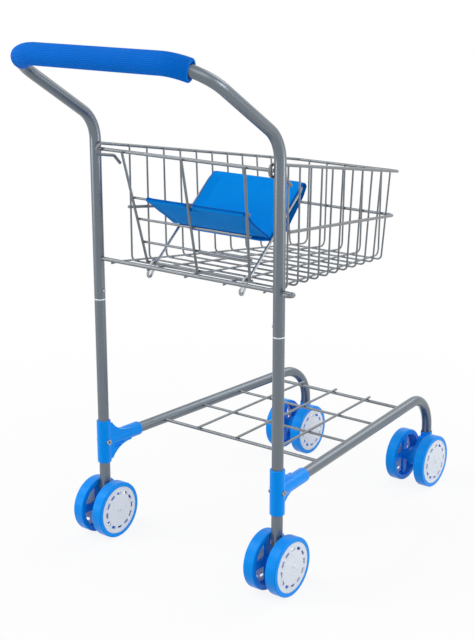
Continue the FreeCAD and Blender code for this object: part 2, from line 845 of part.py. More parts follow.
def build_snap_button(label, side):
    """Domed button that locks a handle post to its leg."""
    body = new_body(label)
    radius = S.snap_diameter / 2
    flange_front = S.snap_seat + S.snap_flange_thickness
    crown = S.tube_diameter / 2 + S.snap_rise
    shoulder = crown - radius / 2
    sketch = new_sketch(body, "XZ_Plane")
    add_outline(sketch, [
        (S.snap_seat, 0),
        (crown, 0, -radius / 9),
        (shoulder, radius),
        (flange_front, radius),
        (flange_front, S.snap_flange_radius),
        (S.snap_seat, S.snap_flange_radius),
    ])
    revolve(body, sketch, "X_Axis")
    place(body, S.post_half_spacing * side, post_line(), snap_height(), 0 if side < 0 else 180)
    keep(body, label)


def build_snap_clip(label, side):
    """Leaf spring folded like a hairpin behind the snap button."""
    body = new_body(label)
    front = S.snap_seat
    back = -S.clip_back
    leaf = S.clip_thickness
    top = S.clip_width / 2
    foot = -S.clip_length
    sketch = new_sketch(body, "XZ_Plane")
    outer_bulge = (front - back) * 0.45
    add_outline(sketch, [
        (front, top),
        (front - leaf, top),
        (front - leaf, foot, -(outer_bulge - leaf)),
        (back + leaf, foot),
        (back + leaf, top),
        (back, top),
        (back, foot, outer_bulge),
        (front, foot),
    ])
    pad(body, sketch, S.clip_width, both_ways=True)
    place(body, S.post_half_spacing * side, post_line(), snap_height(), 0 if side < 0 else 180)
    keep(body, label)


# ---------------------------------------------------------------- brackets and rails

def build_leg_bracket(label, side):
    """Plastic tee: a sleeve round the leg, a socket for the rail and two curved webs."""
    body = new_body(label)
    bore = S.tube_diameter / 2 + S.fit_gap
    skin = bore + S.bracket_wall
    half = S.bracket_length / 2
    sleeve = new_sketch(body, "XY_Plane")
    add_circle(sleeve, skin)
    pad(body, sleeve, S.bracket_length, both_ways=True)
    socket = new_sketch(body, "XZ_Plane")
    add_circle(socket, skin)
    pad(body, socket, S.bracket_reach, backward=True)
    round_edges(body, S.bracket_edge, is_bracket_rim)
    for up in (1, -1):
        web = new_sketch(body, "YZ_Plane", S.bracket_web_outer * side)
        top = (half - S.bracket_wall * 2) * up
        web_foot = skin - S.bracket_wall / 2
        reach = S.bracket_web_reach
        add_outline(web, [
            (0, top),
            (web_foot, top, web_bulge(top, web_foot, up)),
            (reach, web_foot * up),
            (reach, 0),
            (0, 0),
        ])
        pad(body, web, S.bracket_web_thickness, backward=side > 0)
    leg_bore = new_sketch(body, "XY_Plane")
    add_circle(leg_bore, bore)
    pocket(body, leg_bore, S.bracket_length * 2, both_ways=True)
    rail_bore = new_sketch(body, "XZ_Plane", -(bore + S.bracket_wall))
    add_circle(rail_bore, bore)
    pocket(body, rail_bore, S.bracket_reach)
    rivet_bore = new_sketch(body, "YZ_Plane")
    add_circle(rivet_bore, S.rivet_diameter / 2)
    pocket(body, rivet_bore, skin * 4, both_ways=True)
    cut_web_slots(body, side, skin)
    place(body, S.post_half_spacing * side, post_line(), S.rail_height, rail_toe() * side)
    keep(body, label)


def is_bracket_rim(edge):
    """Outer circles at the free ends of the sleeve and the socket."""
    if not isinstance(edge.Curve, Part.Circle):
        return False
    skin = float(S.tube_diameter) / 2 + float(S.fit_gap) + float(S.bracket_wall)
    if abs(edge.Curve.Radius - skin) > 1e-6:
        return False
    centre = edge.Curve.Center
    half = float(S.bracket_length) / 2
    return abs(abs(centre.z) - half) < 1e-6 or abs(centre.y - float(S.bracket_reach)) < 1e-6


def web_bulge(top, web_foot, up):
    """Bow of a web's hollow edge, from the radius of its curve."""
    run = float(S.bracket_web_reach) - float(web_foot)
    climb = abs(float(top)) - float(web_foot)
    chord = math.hypot(run, climb)
    radius = float(S.bracket_web_radius)
    bow = radius - math.sqrt(radius ** 2 - chord ** 2 / 4)
    return -bow * up


def cut_web_slots(body, side, skin):
    """Two shallow moulded slots on the inner side of the lower web."""
    inner_face = (S.bracket_web_outer - S.bracket_web_thickness) * side
    for row in (0, 1):
        slot = new_sketch(body, "YZ_Plane", inner_face)
        low = skin * -0.6 - S.bracket_slot_depth * (1 + row * 2.4)
        start = skin + S.bracket_slot_depth * 1.5
        end = start + S.bracket_slot_depth * (10 - row * 3)
        add_outline(slot, [
            (start, low),
            (end, low),
            (end, low + S.bracket_slot_depth),
            (start, low + S.bracket_slot_depth),
        ])
        pocket(body, slot, S.bracket_slot_depth, backward=side > 0)


def build_bracket_rivets():
    """One hollow rivet through each bracket and leg."""
    skin = S.tube_diameter / 2 + S.fit_gap + S.bracket_wall
    rivets = []
    for _, side in SIDES:
        length = skin * 2 + S.rivet_head_height * 2
        shank = cylinder(S.rivet_diameter, length, axis=ACROSS)
        heads = []
        for end in (-1, 1):
            seat = (skin + S.rivet_head_height / 2) * end
            heads.append(cylinder(S.rivet_head_diameter, S.rivet_head_height, seat, axis=ACROSS))
        bore = cylinder(S.rivet_bore, length * 2, axis=ACROSS)
        rivet = difference(united([shank] + heads), bore)
        place(rivet, S.post_half_spacing * side, post_line(), S.rail_height, rail_toe() * side)
        rivets.append(rivet)
    keep(group(rivets), "bracket_rivets")


def rail_points(side):
    """Centre line of a side rail, from its bracket to the end above its caster."""
    start = float(S.rail_setback)
    front = float(swivel_line())
    height = float(S.rail_height)
    return [
        Vector(rail_axis(start) * side, start, height),
        Vector(rail_axis(front) * side, front, height),
        Vector(rail_axis(front) * side, front, float(tube_end_height())),
    ]


def shelf_rows():
    """Each cross wire of the shelf: distance along the trolley and diameter."""
    thick, thin = S.shelf_wire_diameter, S.shelf_middle_diameter
    diameters = (thick, thin, thin, thick)
    return [(float(S.shelf_start + S.shelf_pitch * row), size) for row, size in enumerate(diameters)]


def shelf_wire_height(diameter):
    """All cross wires touch the same deck of long wires from below."""
    return float(S.rail_height + S.shelf_wire_diameter / 2 - diameter / 2)


def rail_bend_radius():
    """The bend takes all the height above the straight end that holds the swivel bush."""
    return float(S.rail_height) - float(bush_top())


def build_side_rail(label, side):
    path = bent_path(rail_points(side), rail_bend_radius())
    start = rail_points(side)[0]
    run = rail_points(side)[1] - start
    face = ring_face(start, run, S.tube_diameter, tube_inner())
    shape = path.makePipe(face)
    for along, diameter in shelf_rows():
        inner_side = (rail_axis(along) - float(S.tube_diameter) / 2) * side
        bore = diameter + S.fit_gap * 2
        height = shelf_wire_height(diameter)
        shape = cross_drill(shape, inner_side, height, bore, S.tube_diameter * 0.7, along)
    frame_feature(label, [shape])


def build_shelf():
    """Wire shelf between the rails."""
    cross_wires = []
    for along, diameter in shelf_rows():
        reach = rail_axis(along) - float(S.shelf_wire_inset)
        height = shelf_wire_height(diameter)
        ends = [Vector(reach * side, along, height) for _, side in SIDES]
        cross_wires.append(straight_wire(ends[0], ends[1], diameter))
    frame_feature("shelf_cross_wires", cross_wires)
    deck = float(S.rail_height + (S.shelf_wire_diameter + S.shelf_long_diameter) / 2 - S.weld_sink)
    rows = shelf_rows()
    rear = rows[0][0] - float(S.shelf_stub)
    front = rows[-1][0] + float(S.shelf_stub)
    long_wires = []
    for share in (-1, 0, 1):
        start = Vector(float(S.shelf_rear_spread) * share, rear, deck)
        end = Vector(float(S.shelf_front_spread) * share, front, deck)
        long_wires.append(straight_wire(start, end, S.shelf_long_diameter))
    frame_feature("shelf_long_wires", long_wires)


# ---------------------------------------------------------------- basket

def build_basket_top_rim():
    """Rim whose two ends hook round the gate's hinge wire beside the posts."""
    x = -hook_x()
    hook = float(S.hook_radius)
    slope = (float(S.rim_front_height) - rim_rear_height()) / float(S.rim_front_reach)
    low = float(S.hinge_height) - hook
    leg = float(S.hook_leg)
    tip = float(S.hook_tip)
    points = mirrored([
        Vector(x, leg + tip, low + slope * leg - tip),
        Vector(x, leg, low + slope * leg),
        Vector(x, -hook, low - slope * hook),
        Vector(x, -hook, rim_height(0) - slope * hook),
        Vector(-rim_x(S.rim_front_reach), float(S.rim_front_reach), rim_height(S.rim_front_reach)),
    ])
    bend = S.hook_bend_radius
    corner = S.rim_corner_radius
    radii = [bend, bend, bend, corner, corner, bend, bend, bend]
    frame_feature("basket_top_rim", [bent_wire(points, radii, S.rim_diameter)])


def front_wire_line(share):
    """Front wires from the top rim at 0 to the floor at 1."""
    top = float(S.rim_front_reach) - rim_offset()
    return mix(top, top - float(S.front_lean), share)


def build_basket_mid_rail():
    """Rim half way down, outside the wires."""
    start = float(S.middle_start)
    end = front_wire_line(float(S.middle_front_share)) + rim_offset()

    def point(along):
        share = float(mix(S.middle_share, S.middle_front_share, basket_share(along)))
        x = side_wire_x(along, share) + rim_offset()
        return Vector(-x, along, mix(rim_height(along), floor_height(along), share))

    corner = S.rim_corner_radius
    points = mirrored([point(start), point(end)])
    wire = bent_wire(points, [corner, corner], S.rim_diameter)
    frame_feature("basket_mid_rail", [wire])


def cross_wire_rows():
    """Distances of the cross wires ahead of the posts."""
    gaps = int(float(S.cross_wire_count)) - 1
    start = S.cross_wire_start
    end = S.rim_front_reach - S.cross_wire_end
    return [mix(start, end, row / gaps) for row in range(gaps + 1)]


def build_basket_wires():
    cross_wires = []
    for along in cross_wire_rows():
        points = mirrored([
            Vector(-side_wire_x(along, 0), along, rim_height(along) + float(S.wire_end_rise)),
            Vector(-side_wire_x(along, 1), along, floor_height(along)),
        ])
        radius = S.floor_corner_radius
        cross_wires.append(bent_wire(points, [radius, radius], S.basket_wire_diameter))
    frame_feature("basket_cross_wires", cross_wires)
    count = int(float(S.long_wire_count))
    shares = [2 * column / (count - 1) - 1 for column in range(count)]
    frame_feature("basket_long_wires", [long_wire(share) for share in shares])


def long_wire(share):
    """Wire from under the lock rod, along the floor and up the front."""
    rear, front = float(S.long_rear_spread) * share, float(S.long_front_spread) * share
    foot = front_wire_line(1)
    under_rod = float((S.rod_diameter + S.basket_wire_diameter) / 2 + S.moving_gap)
    tuck = float(rod_height()) - under_rod
    past_rod = float(S.rod_diameter)

    def across(along):
        return mix(rear, front, along / foot)

    points = [
        Vector(across(0), 0, tuck),
        Vector(across(past_rod), past_rod, tuck),
        Vector(across(past_rod * 3), past_rod * 3, long_wire_height(past_rod * 3)),
        Vector(front, foot, long_wire_height(foot)),
        Vector(front, front_wire_line(0), rim_height(S.rim_front_reach) + float(S.wire_end_rise)),
    ]
    bend = S.floor_corner_radius
    return bent_wire(points, [bend, bend, S.front_corner_radius], S.basket_wire_diameter)


def build_lock_rod():
    """Removable rod through both posts, bent into a finger loop at its right end."""
    height = float(rod_height())
    width = float(S.rod_loop_width)
    far_side = float(S.post_half_spacing + S.tube_diameter / 2)
    loop_end = float(S.rod_loop_end) + width / 2
    points = [
        Vector(-far_side, 0, height),
        Vector(loop_end, 0, height),
        Vector(loop_end, -width, height),
        Vector(far_side + float(S.rod_diameter), -width, height),
    ]
    bend = width / 2 - float(S.weld_sink)
    frame_feature("lock_rod", [bent_wire(points, [bend, bend], S.rod_diameter)])


# ---------------------------------------------------------------- gate and seat

def build_gate_panel():
    """Welded gate that hangs in the posts by its top wire."""
    upright, level = gate_offsets()
    reach = float(S.post_half_spacing) - float(S.shelf_wire_inset)
    wires = [straight_wire(gate_point(0, 0, -reach), gate_point(0, 0, reach), S.hinge_diameter)]
    over = float(S.gate_upright_diameter) / 2
    foot = gate_length()
    for share in (-1, 0, 1):
        top = gate_point(-over, upright, float(S.gate_top_spread) * share)
        low = gate_point(foot, upright, float(S.gate_foot_spread) * share)
        wires.append(straight_wire(top, low, S.gate_upright_diameter))
    drops = (S.gate_first_drop, S.gate_second_drop, S.gate_third_drop)
    for length in [gate_level(drop) for drop in drops] + [foot]:
        half = mix(S.gate_top_spread, S.gate_foot_spread, length / foot) + over
        ends = [gate_point(length, level, half * side) for _, side in SIDES]
        wires.append(straight_wire(ends[0], ends[1], S.gate_cross_diameter))
    frame_feature("gate_panel", wires)


def seat_frame_points():
    """Centre line of the seat frame, from the left eye over the top to the right eye."""
    radius = eye_radius()
    tail = -float(S.seat_eye_tail)
    x = -float(S.seat_half_width)
    loop = [(radius, -radius * 0.2), (radius, radius), (tail, radius), (tail, -radius)]
    points = [gate_foot() + eye_point(*corner) + ACROSS * x for corner in loop]
    points.append(arm_start() + ACROSS * x)
    points.append(arm_end() + ACROSS * x)
    return mirrored(points)


def seat_frame_radii():
    bend = eye_radius() - float(S.weld_sink)
    half = [bend, bend, bend, float(S.seat_elbow_radius), float(S.seat_corner_radius)]
    return half + half[::-1]


def build_seat_frame():
    wire = bent_wire(seat_frame_points(), seat_frame_radii(), S.seat_wire_diameter)
    frame_feature("seat_frame", [wire])


def arm_side(length, offset, across=0):
    """A point up the arms and out of their rear side."""
    up_arm, rearward = arm_directions()
    return arm_start() + up_arm * length + rearward * offset + ACROSS * across


def arm_prism(outline, half_width):
    """Solid across the seat from (length, offset) corners seen from the side."""
    corners = [arm_side(length, offset, -half_width) for length, offset in outline]
    face = Part.Face(Part.makePolygon(corners + corners[:1]))
    return face.extrude(ACROSS * (half_width * 2))


def build_seat_back_panel():
    """Fabric folded over the top bar: a layer behind the arms and a wider one before them."""
    thickness = float(S.fabric_thickness)
    start = float(S.back_panel_start)
    inner = float(S.seat_wire_diameter / 2 + S.fabric_gap)
    outer = inner + thickness
    foot = start + float(S.back_panel_foot)
    depth = float(S.back_panel_depth)
    top = (arm_end() - arm_start()).Length
    front_skin = [(top + outer, -outer), (foot, -depth), (start, -outer)]
    front_lining = [(start, -inner), (foot, thickness - depth), (top + outer, -inner)]
    skin = [(start, outer), (top + outer, outer)] + front_skin
    hollow = [
        (start + thickness, inner),
        (top + inner, inner),
        (top + inner, -inner),
        (foot, thickness - depth),
        (start + thickness, -inner),
    ]
    half_width = float(S.rear_layer_half_width)
    loop = arm_prism(skin, half_width).cut(arm_prism(hollow, half_width))
    front_layer = arm_prism(front_skin + front_lining, float(S.seat_half_width + S.back_panel_edge))
    frame_feature("seat_back_panel", [loop.fuse(front_layer).removeSplitter()])


def build_seat_sling():
    """Fabric pan between the gate's first level wire and the foot of the back, pulled askew."""
    level = gate_level(S.gate_first_drop)
    hem = gate_point(level, gate_offsets()[1])
    fold = arm_side(float(S.back_panel_start), 0)
    run = (hem - fold).normalize()
    thickness = float(S.fabric_thickness)
    front = fold + run * float(S.seat_wire_diameter / 2 + S.fabric_gap * 2 + S.fabric_thickness)
    rear = hem - run * float(S.gate_cross_diameter / 2 + S.fabric_gap)
    half_width = float(S.pan_half_width)
    corners = []
    for end, shift, sides in ((front, -S.pan_fold_shift, (-1, 1)), (rear, S.pan_hem_shift, (1, -1))):
        corners += [end + ACROSS * (float(shift) + half_width * side) for side in sides]
    face = Part.Face(Part.makePolygon(corners + corners[:1]))
    frame_feature("seat_sling", [face.extrude(Vector(0, run.z, -run.y) * thickness)])


# ---------------------------------------------------------------- wheels and casters

def build_wheel(label, across, along, turn):
    """Spoked wheel with a deep tyre band; local +X points to its hub cap."""
    body = new_body(label)
    band = S.wheel_diameter / 2 - S.tyre_depth
    spokes = new_sketch(body, "YZ_Plane", S.spoke_start)
    half = S.spoke_width / 2
    reach = band + S.cap_lip / 2
    add_outline(spokes, [(-half, -reach), (half, -reach), (half, reach), (-half, reach)])
    bar = pad(body, spokes, S.spoke_thickness)
    polar_copies(body, bar, "X_Axis", 4)
    tread = new_sketch(body, "XZ_Plane")
    cap_seat = tyre_end() - S.cap_inset - S.cap_wall
    add_outline(tread, [
        (S.tyre_start, band),
        (S.tyre_start, S.wheel_diameter / 2),
        (tyre_end(), S.wheel_diameter / 2),
        (tyre_end(), band + S.cap_lip),
        (cap_seat, band + S.cap_lip),
        (cap_seat, band),
    ])
    revolve(body, tread, "X_Axis")
    hub = new_sketch(body, "XZ_Plane")
    bore = S.axle_diameter / 2 + S.axle_play
    add_outline(hub, [
        (hub_start(), bore),
        (hub_start(), S.hub_radius),
        (spoke_end(), S.hub_radius),
        (spoke_end(), bore),
    ])
    revolve(body, hub, "X_Axis")
    axle_bore = new_sketch(body, "YZ_Plane")
    add_circle(axle_bore, bore)
    pocket(body, axle_bore, S.wheel_diameter, both_ways=True)
    round_edges(body, S.tyre_round, is_tread_edge)
    place(body, across, along + post_line(), axle_height(), turn)
    keep(body, label)


def is_tread_edge(edge):
    circle = isinstance(edge.Curve, Part.Circle)
    return circle and abs(edge.Curve.Radius - float(S.wheel_diameter) / 2) < 1e-6


def build_hub_cap(label, across, along, turn):
    """Domed cap with a ring of slots and a small middle boss."""
    body = new_body(label)
    rim = S.wheel_diameter / 2 - S.tyre_depth + S.cap_lip - S.fit_gap
    face = tyre_end() - S.cap_inset
    inside = face - S.cap_wall
    crown = face + S.cap_dome
    shell = new_sketch(body, "XZ_Plane")
    arc_bow = dome_bow(rim)
    add_outline(shell, [
        (crown - S.cap_wall, 0, -arc_bow),
        (inside, rim),
        (face, rim, arc_bow),
        (crown, 0),
    ])
    revolve(body, shell, "X_Axis")
    boss = new_sketch(body, "YZ_Plane", crown - S.cap_wall / 2)
    add_circle(boss, S.cap_boss_radius)
    pad(body, boss, S.cap_wall / 2 + S.cap_boss_height)
    recess = new_sketch(body, "YZ_Plane", crown + S.cap_boss_height)
    add_circle(recess, S.cap_recess_radius)
    pocket(body, recess, S.cap_recess_depth)
    slot = new_sketch(body, "YZ_Plane", crown)
    long_half, short_half = S.cap_slot_length / 2, S.cap_slot_width / 2
    low, high = S.cap_slot_ring - short_half, S.cap_slot_ring + short_half
    add_outline(slot, [(-long_half, low), (long_half, low), (long_half, high), (-long_half, high)])
    opening = pocket(body, slot, S.cap_wall + S.cap_dome)
    polar_copies(body, opening, "X_Axis", S.cap_slot_count)
    place(body, across, along + post_line(), axle_height(), turn)
    keep(body, label)


def dome_bow(rim):
    """Bow of the dome's half profile over its own chord."""
    rise = float(S.cap_dome)
    run = float(rim)
    radius = (run ** 2 + rise ** 2) / (2 * rise)
    chord = math.hypot(run, rise)
    return radius - math.sqrt(radius ** 2 - chord ** 2 / 4)


def build_wheel_pair(place_name, side_name, side, half_spacing, spread, along):
    """Two wheels and two hub caps back to back on one axle."""
    for position, facing in (("outer", side), ("inner", -side)):
        suffix = f"{place_name}_{side_name}_{position}"
        turn = 0 if facing > 0 else 180
        across = half_spacing * side + spread * facing
        build_wheel(f"wheel_{suffix}", across, along, turn)
        build_hub_cap(f"hub_cap_{suffix}", across, along, turn)


def build_axle(label, half_spacing, spread, side, along):
    length = (axle_half_length() + spread) * 2
    height = axle_height()
    rod = cylinder(S.axle_diameter, length, half_spacing * side, along + post_line(), height, ACROSS)
    keep(rod, label)


def push_nuts(half_spacing, spread, side, along):
    """The two nuts that hold a pair of wheels on their axle."""
    nuts = []
    height = axle_height()
    line = along + post_line()
    for end in (-1, 1):
        seat = spoke_end() + spread + S.hub_gap + S.push_nut_thickness / 2
        across = half_spacing * side + seat * end
        disc = cylinder(S.push_nut_diameter, S.push_nut_thickness, across, line, height, ACROSS)
        bore = cylinder(S.axle_diameter, S.push_nut_thickness * 3, across, line, height, ACROSS)
        nuts.append(difference(disc, bore))
    return nuts


def build_caster_housing(label, side):
    """Housing between the front wheels: a collar for the tube end and a web to the axle."""
    body = new_body(label)
    trail = S.caster_trail
    axle = axle_height()
    collar = S.caster_collar_radius
    shoulder = S.caster_collar_top - S.caster_collar_recess * 2
    radius = S.caster_hub_radius
    web = new_sketch(body, "YZ_Plane")
    add_outline(web, [
        (-collar * 1.5, shoulder, trail / 9),
        (-trail, axle + radius, -radius * 0.9),
        (-trail, axle - radius, radius / 6),
        (S.caster_web_reach, shoulder - trail * 0.6),
        (collar - S.caster_gap, shoulder),
    ])
    pad(body, web, S.tube_diameter, both_ways=True)
    boss = new_sketch(body, "YZ_Plane")
    add_circle(boss, S.hub_radius, -trail, axle)
    pad(body, boss, S.tube_diameter + S.caster_spread * 2, both_ways=True)
    ring = new_sketch(body, "XY_Plane", shoulder - S.caster_collar_recess)
    add_circle(ring, collar)
    pad(body, ring, S.caster_collar_recess * 3)
    recess = new_sketch(body, "XY_Plane", S.caster_collar_top)
    add_circle(recess, S.tube_diameter / 2 + S.caster_gap)
    pocket(body, recess, S.caster_collar_recess)
    socket = new_sketch(body, "XY_Plane", S.caster_collar_top - S.caster_collar_recess)
    add_circle(socket, S.stem_diameter / 2)
    pocket(body, socket, S.stem_socket_depth)
    axle_bore = new_sketch(body, "YZ_Plane")
    add_circle(axle_bore, S.axle_diameter / 2, -trail, axle)
    pocket(body, axle_bore, (S.tube_diameter + S.caster_spread) * 2, both_ways=True)
    place(body, S.caster_half_spacing * side, swivel_line() + post_line())
    keep(body, label)


def bush_top():
    return tube_end_height() + S.bush_length


def build_caster_stem(label, side):
    """Swivel pin, headed above its bush."""
    body = new_body(label)
    radius = S.stem_diameter / 2
    foot = S.caster_collar_top - S.caster_collar_recess - S.stem_socket_depth
    neck = bush_top() + S.caster_gap
    top = neck + S.stem_head_height
    sketch = new_sketch(body, "XZ_Plane")
    add_outline(sketch, [
        (0, foot),
        (radius, foot),
        (radius, neck),
        (S.stem_head_radius, neck),
        (S.stem_head_radius, neck + S.stem_head_height / 3),
        (radius * 0.7, top),
        (0, top),
    ])
    revolve(body, sketch, "Z_Axis")
    place(body, S.caster_half_spacing * side, swivel_line() + post_line())
    keep(body, label)


def build_stem_bush(label, side):
    """Flanged bush pressed into a rail's lower end."""
    body = new_body(label)
    bore = S.stem_diameter / 2 + S.stem_play
    shank = tube_inner() / 2
    flange = S.tube_diameter / 2
    tube_end = tube_end_height()
    sketch = new_sketch(body, "XZ_Plane")
    add_outline(sketch, [
        (bore, tube_end - S.bush_flange),
        (flange, tube_end - S.bush_flange),
        (flange, tube_end),
        (shank, tube_end),
        (shank, bush_top()),
        (bore, bush_top()),
    ])
    revolve(body, sketch, "Z_Axis")
    place(body, S.caster_half_spacing * side, swivel_line() + post_line())
    keep(body, label)


# ---------------------------------------------------------------- whole trolley

def build_trolley():
    build_handle_frame()
    build_handle_grip()
    for name, side in SIDES:
        build_leg_tube(f"leg_tube_{name}", side)
        build_leg_plug(f"leg_plug_{name}", side)
        build_leg_bracket(f"leg_bracket_{name}", side)
        build_snap_clip(f"snap_clip_{name}", side)
        build_snap_button(f"snap_button_{name}", side)
        build_side_rail(f"side_rail_{name}", side)
        build_axle(f"rear_axle_{name}", S.post_half_spacing, dim(0), side, dim(0))
        build_stem_bush(f"stem_bush_{name}", side)
        build_caster_housing(f"caster_housing_{name}", side)
        build_caster_stem(f"caster_stem_{name}", side)
        build_axle(f"caster_axle_{name}", S.caster_half_spacing, S.caster_spread, side, S.wheelbase)
        nuts = push_nuts(S.caster_half_spacing, S.caster_spread, side, S.wheelbase)
        keep(group(nuts), f"caster_push_nuts_{name}")
        build_wheel_pair("rear", name, side, S.post_half_spacing, dim(0), dim(0))
        build_wheel_pair("front", name, side, S.caster_half_spacing, S.caster_spread, S.wheelbase)
    rear_nuts = [nut for _, side in SIDES for nut in push_nuts(S.post_half_spacing, dim(0), side, dim(0))]
    keep(group(rear_nuts), "rear_push_nuts")
    build_bracket_rivets()
    build_shelf()
    build_basket_top_rim()
    build_basket_mid_rail()
    build_basket_wires()
    build_lock_rod()
    build_gate_panel()
    build_seat_frame()
    build_seat_back_panel()
    build_seat_sling()


def check_document():
    """Stop before anything is written if an object failed or a shape is unsound."""
    for item in DOCUMENT.Objects:
        if "Invalid" in item.State or "Error" in item.State:
            raise RuntimeError(f"{item.Name} ({item.Label}) failed: {item.State}")
    for part in PARTS:
        if part.Shape.isNull() or not part.Shape.isValid() or not part.Shape.Solids:
            raise RuntimeError(f"{part.Label} has no sound shape")


def export_parts():
    os.makedirs("parts", exist_ok=True)
    for part in PARTS:
        part.Shape.exportStep(os.path.join("parts", f"{part.Label}.step"))


build_trolley()
DOCUMENT.recompute()
check_document()
export_parts()
print(f"{len(PARTS)} sub-parts written")
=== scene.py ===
"""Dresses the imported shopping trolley: foam grip, cloth seat, weld beads, rings, finishes, studio.

Metres, +X to the right of the child who pushes it, +Y the way it is pushed, +Z up. The sizes in
the dataclasses are those of the CAD source, so a new piece lies where its solids do.
"""

from __future__ import annotations

import json
import logging
import math
from dataclasses import dataclass, field
from enum import Enum
from functools import cache
from typing import Any, Sequence

import bpy
import numpy as np
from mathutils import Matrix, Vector

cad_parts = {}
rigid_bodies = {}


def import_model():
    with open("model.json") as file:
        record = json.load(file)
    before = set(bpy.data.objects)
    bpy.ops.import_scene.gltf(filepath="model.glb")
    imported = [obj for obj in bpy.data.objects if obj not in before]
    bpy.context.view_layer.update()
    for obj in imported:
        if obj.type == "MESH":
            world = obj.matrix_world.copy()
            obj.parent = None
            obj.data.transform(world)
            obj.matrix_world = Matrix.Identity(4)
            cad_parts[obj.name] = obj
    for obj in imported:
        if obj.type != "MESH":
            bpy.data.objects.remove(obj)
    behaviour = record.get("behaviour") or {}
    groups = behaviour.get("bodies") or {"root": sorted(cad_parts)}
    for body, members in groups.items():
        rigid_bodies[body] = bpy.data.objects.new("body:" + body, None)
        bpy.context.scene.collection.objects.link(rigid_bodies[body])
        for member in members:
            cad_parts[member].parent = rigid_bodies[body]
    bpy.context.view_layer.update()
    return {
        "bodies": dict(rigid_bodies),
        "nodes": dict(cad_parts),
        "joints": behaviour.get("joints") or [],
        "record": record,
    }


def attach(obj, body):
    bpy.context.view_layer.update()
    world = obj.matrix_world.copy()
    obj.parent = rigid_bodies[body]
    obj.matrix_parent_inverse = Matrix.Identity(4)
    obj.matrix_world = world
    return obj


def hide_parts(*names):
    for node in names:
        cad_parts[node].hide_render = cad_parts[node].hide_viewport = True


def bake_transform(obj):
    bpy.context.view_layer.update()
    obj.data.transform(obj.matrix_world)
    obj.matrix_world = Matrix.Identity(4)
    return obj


LOG = logging.getLogger("trolley")
CLOTH_UV = "Cloth"
# name of the cloth's attribute that carries the painted shade on its folded edges
PAINTED_EDGE_SHADE = "painted_edge_shade"
Array = np.ndarray
Colour = tuple[int, int, int]
Triple = tuple[float, float, float]
Piece = bpy.types.Object
Tree = bpy.types.NodeTree


# ---------------------------------------------------------------- small mathematics


def ramp(values: Array, low: float, high: float) -> Array:
    """Straight ramp from 0 at low to 1 at high."""
    return np.clip((values - low) / (high - low), 0.0, 1.0)


def smooth_step(values: Array, low: float, high: float) -> Array:
    """Ramp from 0 at low to 1 at high, level at both ends."""
    share = ramp(values, low, high)
    return share * share * (3.0 - 2.0 * share)


def unit(vectors: Array) -> Array:
    """The vectors along the last axis, each scaled to length one."""
    length = np.linalg.norm(vectors, axis=-1, keepdims=True)
    return vectors / np.maximum(length, 1e-12)


def in_order(*parts: Array) -> Array:
    """Runs of points joined end to end, with repeated joints dropped.

    Args:
        parts: arrays of shape (n, 2) or (n, 3) whose ends meet.

    Returns:
        One array of points.
    """
    points = np.concatenate(parts)
    step = np.linalg.norm(np.diff(points, axis=0), axis=1)
    return points[np.concatenate([[True], step > 1e-7])]


def mix(start: Any, end: Any, share: Any) -> Any:
    """Value between start, at share 0, and end, at share 1."""
    return start * (1.0 - share) + end * share


def points_of(*coordinates: Array | float) -> Array:
    """Points from coordinates that are spread over each other's shapes."""
    return np.stack(np.broadcast_arrays(*coordinates), axis=-1)


def distances(points: Array) -> Array:
    """Distance from the first point of a line to each of its points, along the line."""
    return np.concatenate([[0.0], np.cumsum(np.linalg.norm(np.diff(points, axis=0), axis=1))])


def read_at(wanted: Array, known: Array, values: Array) -> Array:
    """Rows of values, given at known places, read at the wanted ones by straight interpolation."""
    return np.stack([np.interp(wanted, known, column) for column in values.T], axis=1)


def evenly(points: Array, count: int) -> Array:
    """Count points at even distances along a line of points, both ends among them."""
    reached = distances(points)
    return read_at(np.linspace(0.0, reached[-1], count), reached, points)


# ---------------------------------------------------------------- meshes


def grid_faces(
    rows: int, columns: int, wrap_rows: bool = False, wrap_columns: bool = False
) -> Array:
    """Quads of a grid whose vertex (row, column) has the number row * columns + column.

    Args:
        rows: number of rows of vertices.
        columns: number of columns of vertices.
        wrap_rows: whether the last row joins the first.
        wrap_columns: whether the last column joins the first.

    Returns:
        Array of shape (faces, 4).
    """
    row = np.arange(rows if wrap_rows else rows - 1)
    column = np.arange(columns if wrap_columns else columns - 1)
    r, c = np.meshgrid(row, column, indexing="ij")
    below, right = (r + 1) % rows, (c + 1) % columns
    corners = [r * columns + c, r * columns + right, below * columns + right, below * columns + c]
    return np.stack([corner.ravel() for corner in corners], axis=1)


def mesh_object(name: str, points: Array, faces: Array, smooth: bool = True) -> Piece:
    """New object at the origin from quads, linked to the scene.

    Args:
        name: piece name.
        points: vertex places, any leading shape, last axis of three.
        faces: array of shape (n, 4).
        smooth: whether its faces are shaded smooth.

    Returns:
        The object.
    """
    flat = np.ascontiguousarray(points.reshape(-1, 3), dtype=np.float32)
    faces = np.ascontiguousarray(faces, dtype=np.int32)
    mesh = bpy.data.meshes.new(name)
    mesh.vertices.add(len(flat))
    mesh.vertices.foreach_set("co", flat.ravel())
    mesh.loops.add(faces.size)
    mesh.loops.foreach_set("vertex_index", faces.ravel())
    mesh.polygons.add(len(faces))
    mesh.polygons.foreach_set("loop_start", np.arange(0, faces.size, 4, dtype=np.int32))
    mesh.polygons.foreach_set("use_smooth", np.full(len(faces), smooth))
    mesh.update(calc_edges=True)
    mesh.validate()
    made = bpy.data.objects.new(name, mesh)
    bpy.context.scene.collection.objects.link(made)
    return made


def give_uv(made: Piece, uv: Array) -> None:
    """Store one UV pair per vertex, in metres of the material's own length and width."""
    layer = made.data.uv_layers.new(name=CLOTH_UV)
    corner = np.empty(len(made.data.loops), dtype=np.int32)
    made.data.loops.foreach_get("vertex_index", corner)
    pairs = uv.reshape(-1, 2)[corner]
    layer.data.foreach_set("uv", np.ascontiguousarray(pairs, dtype=np.float32).ravel())


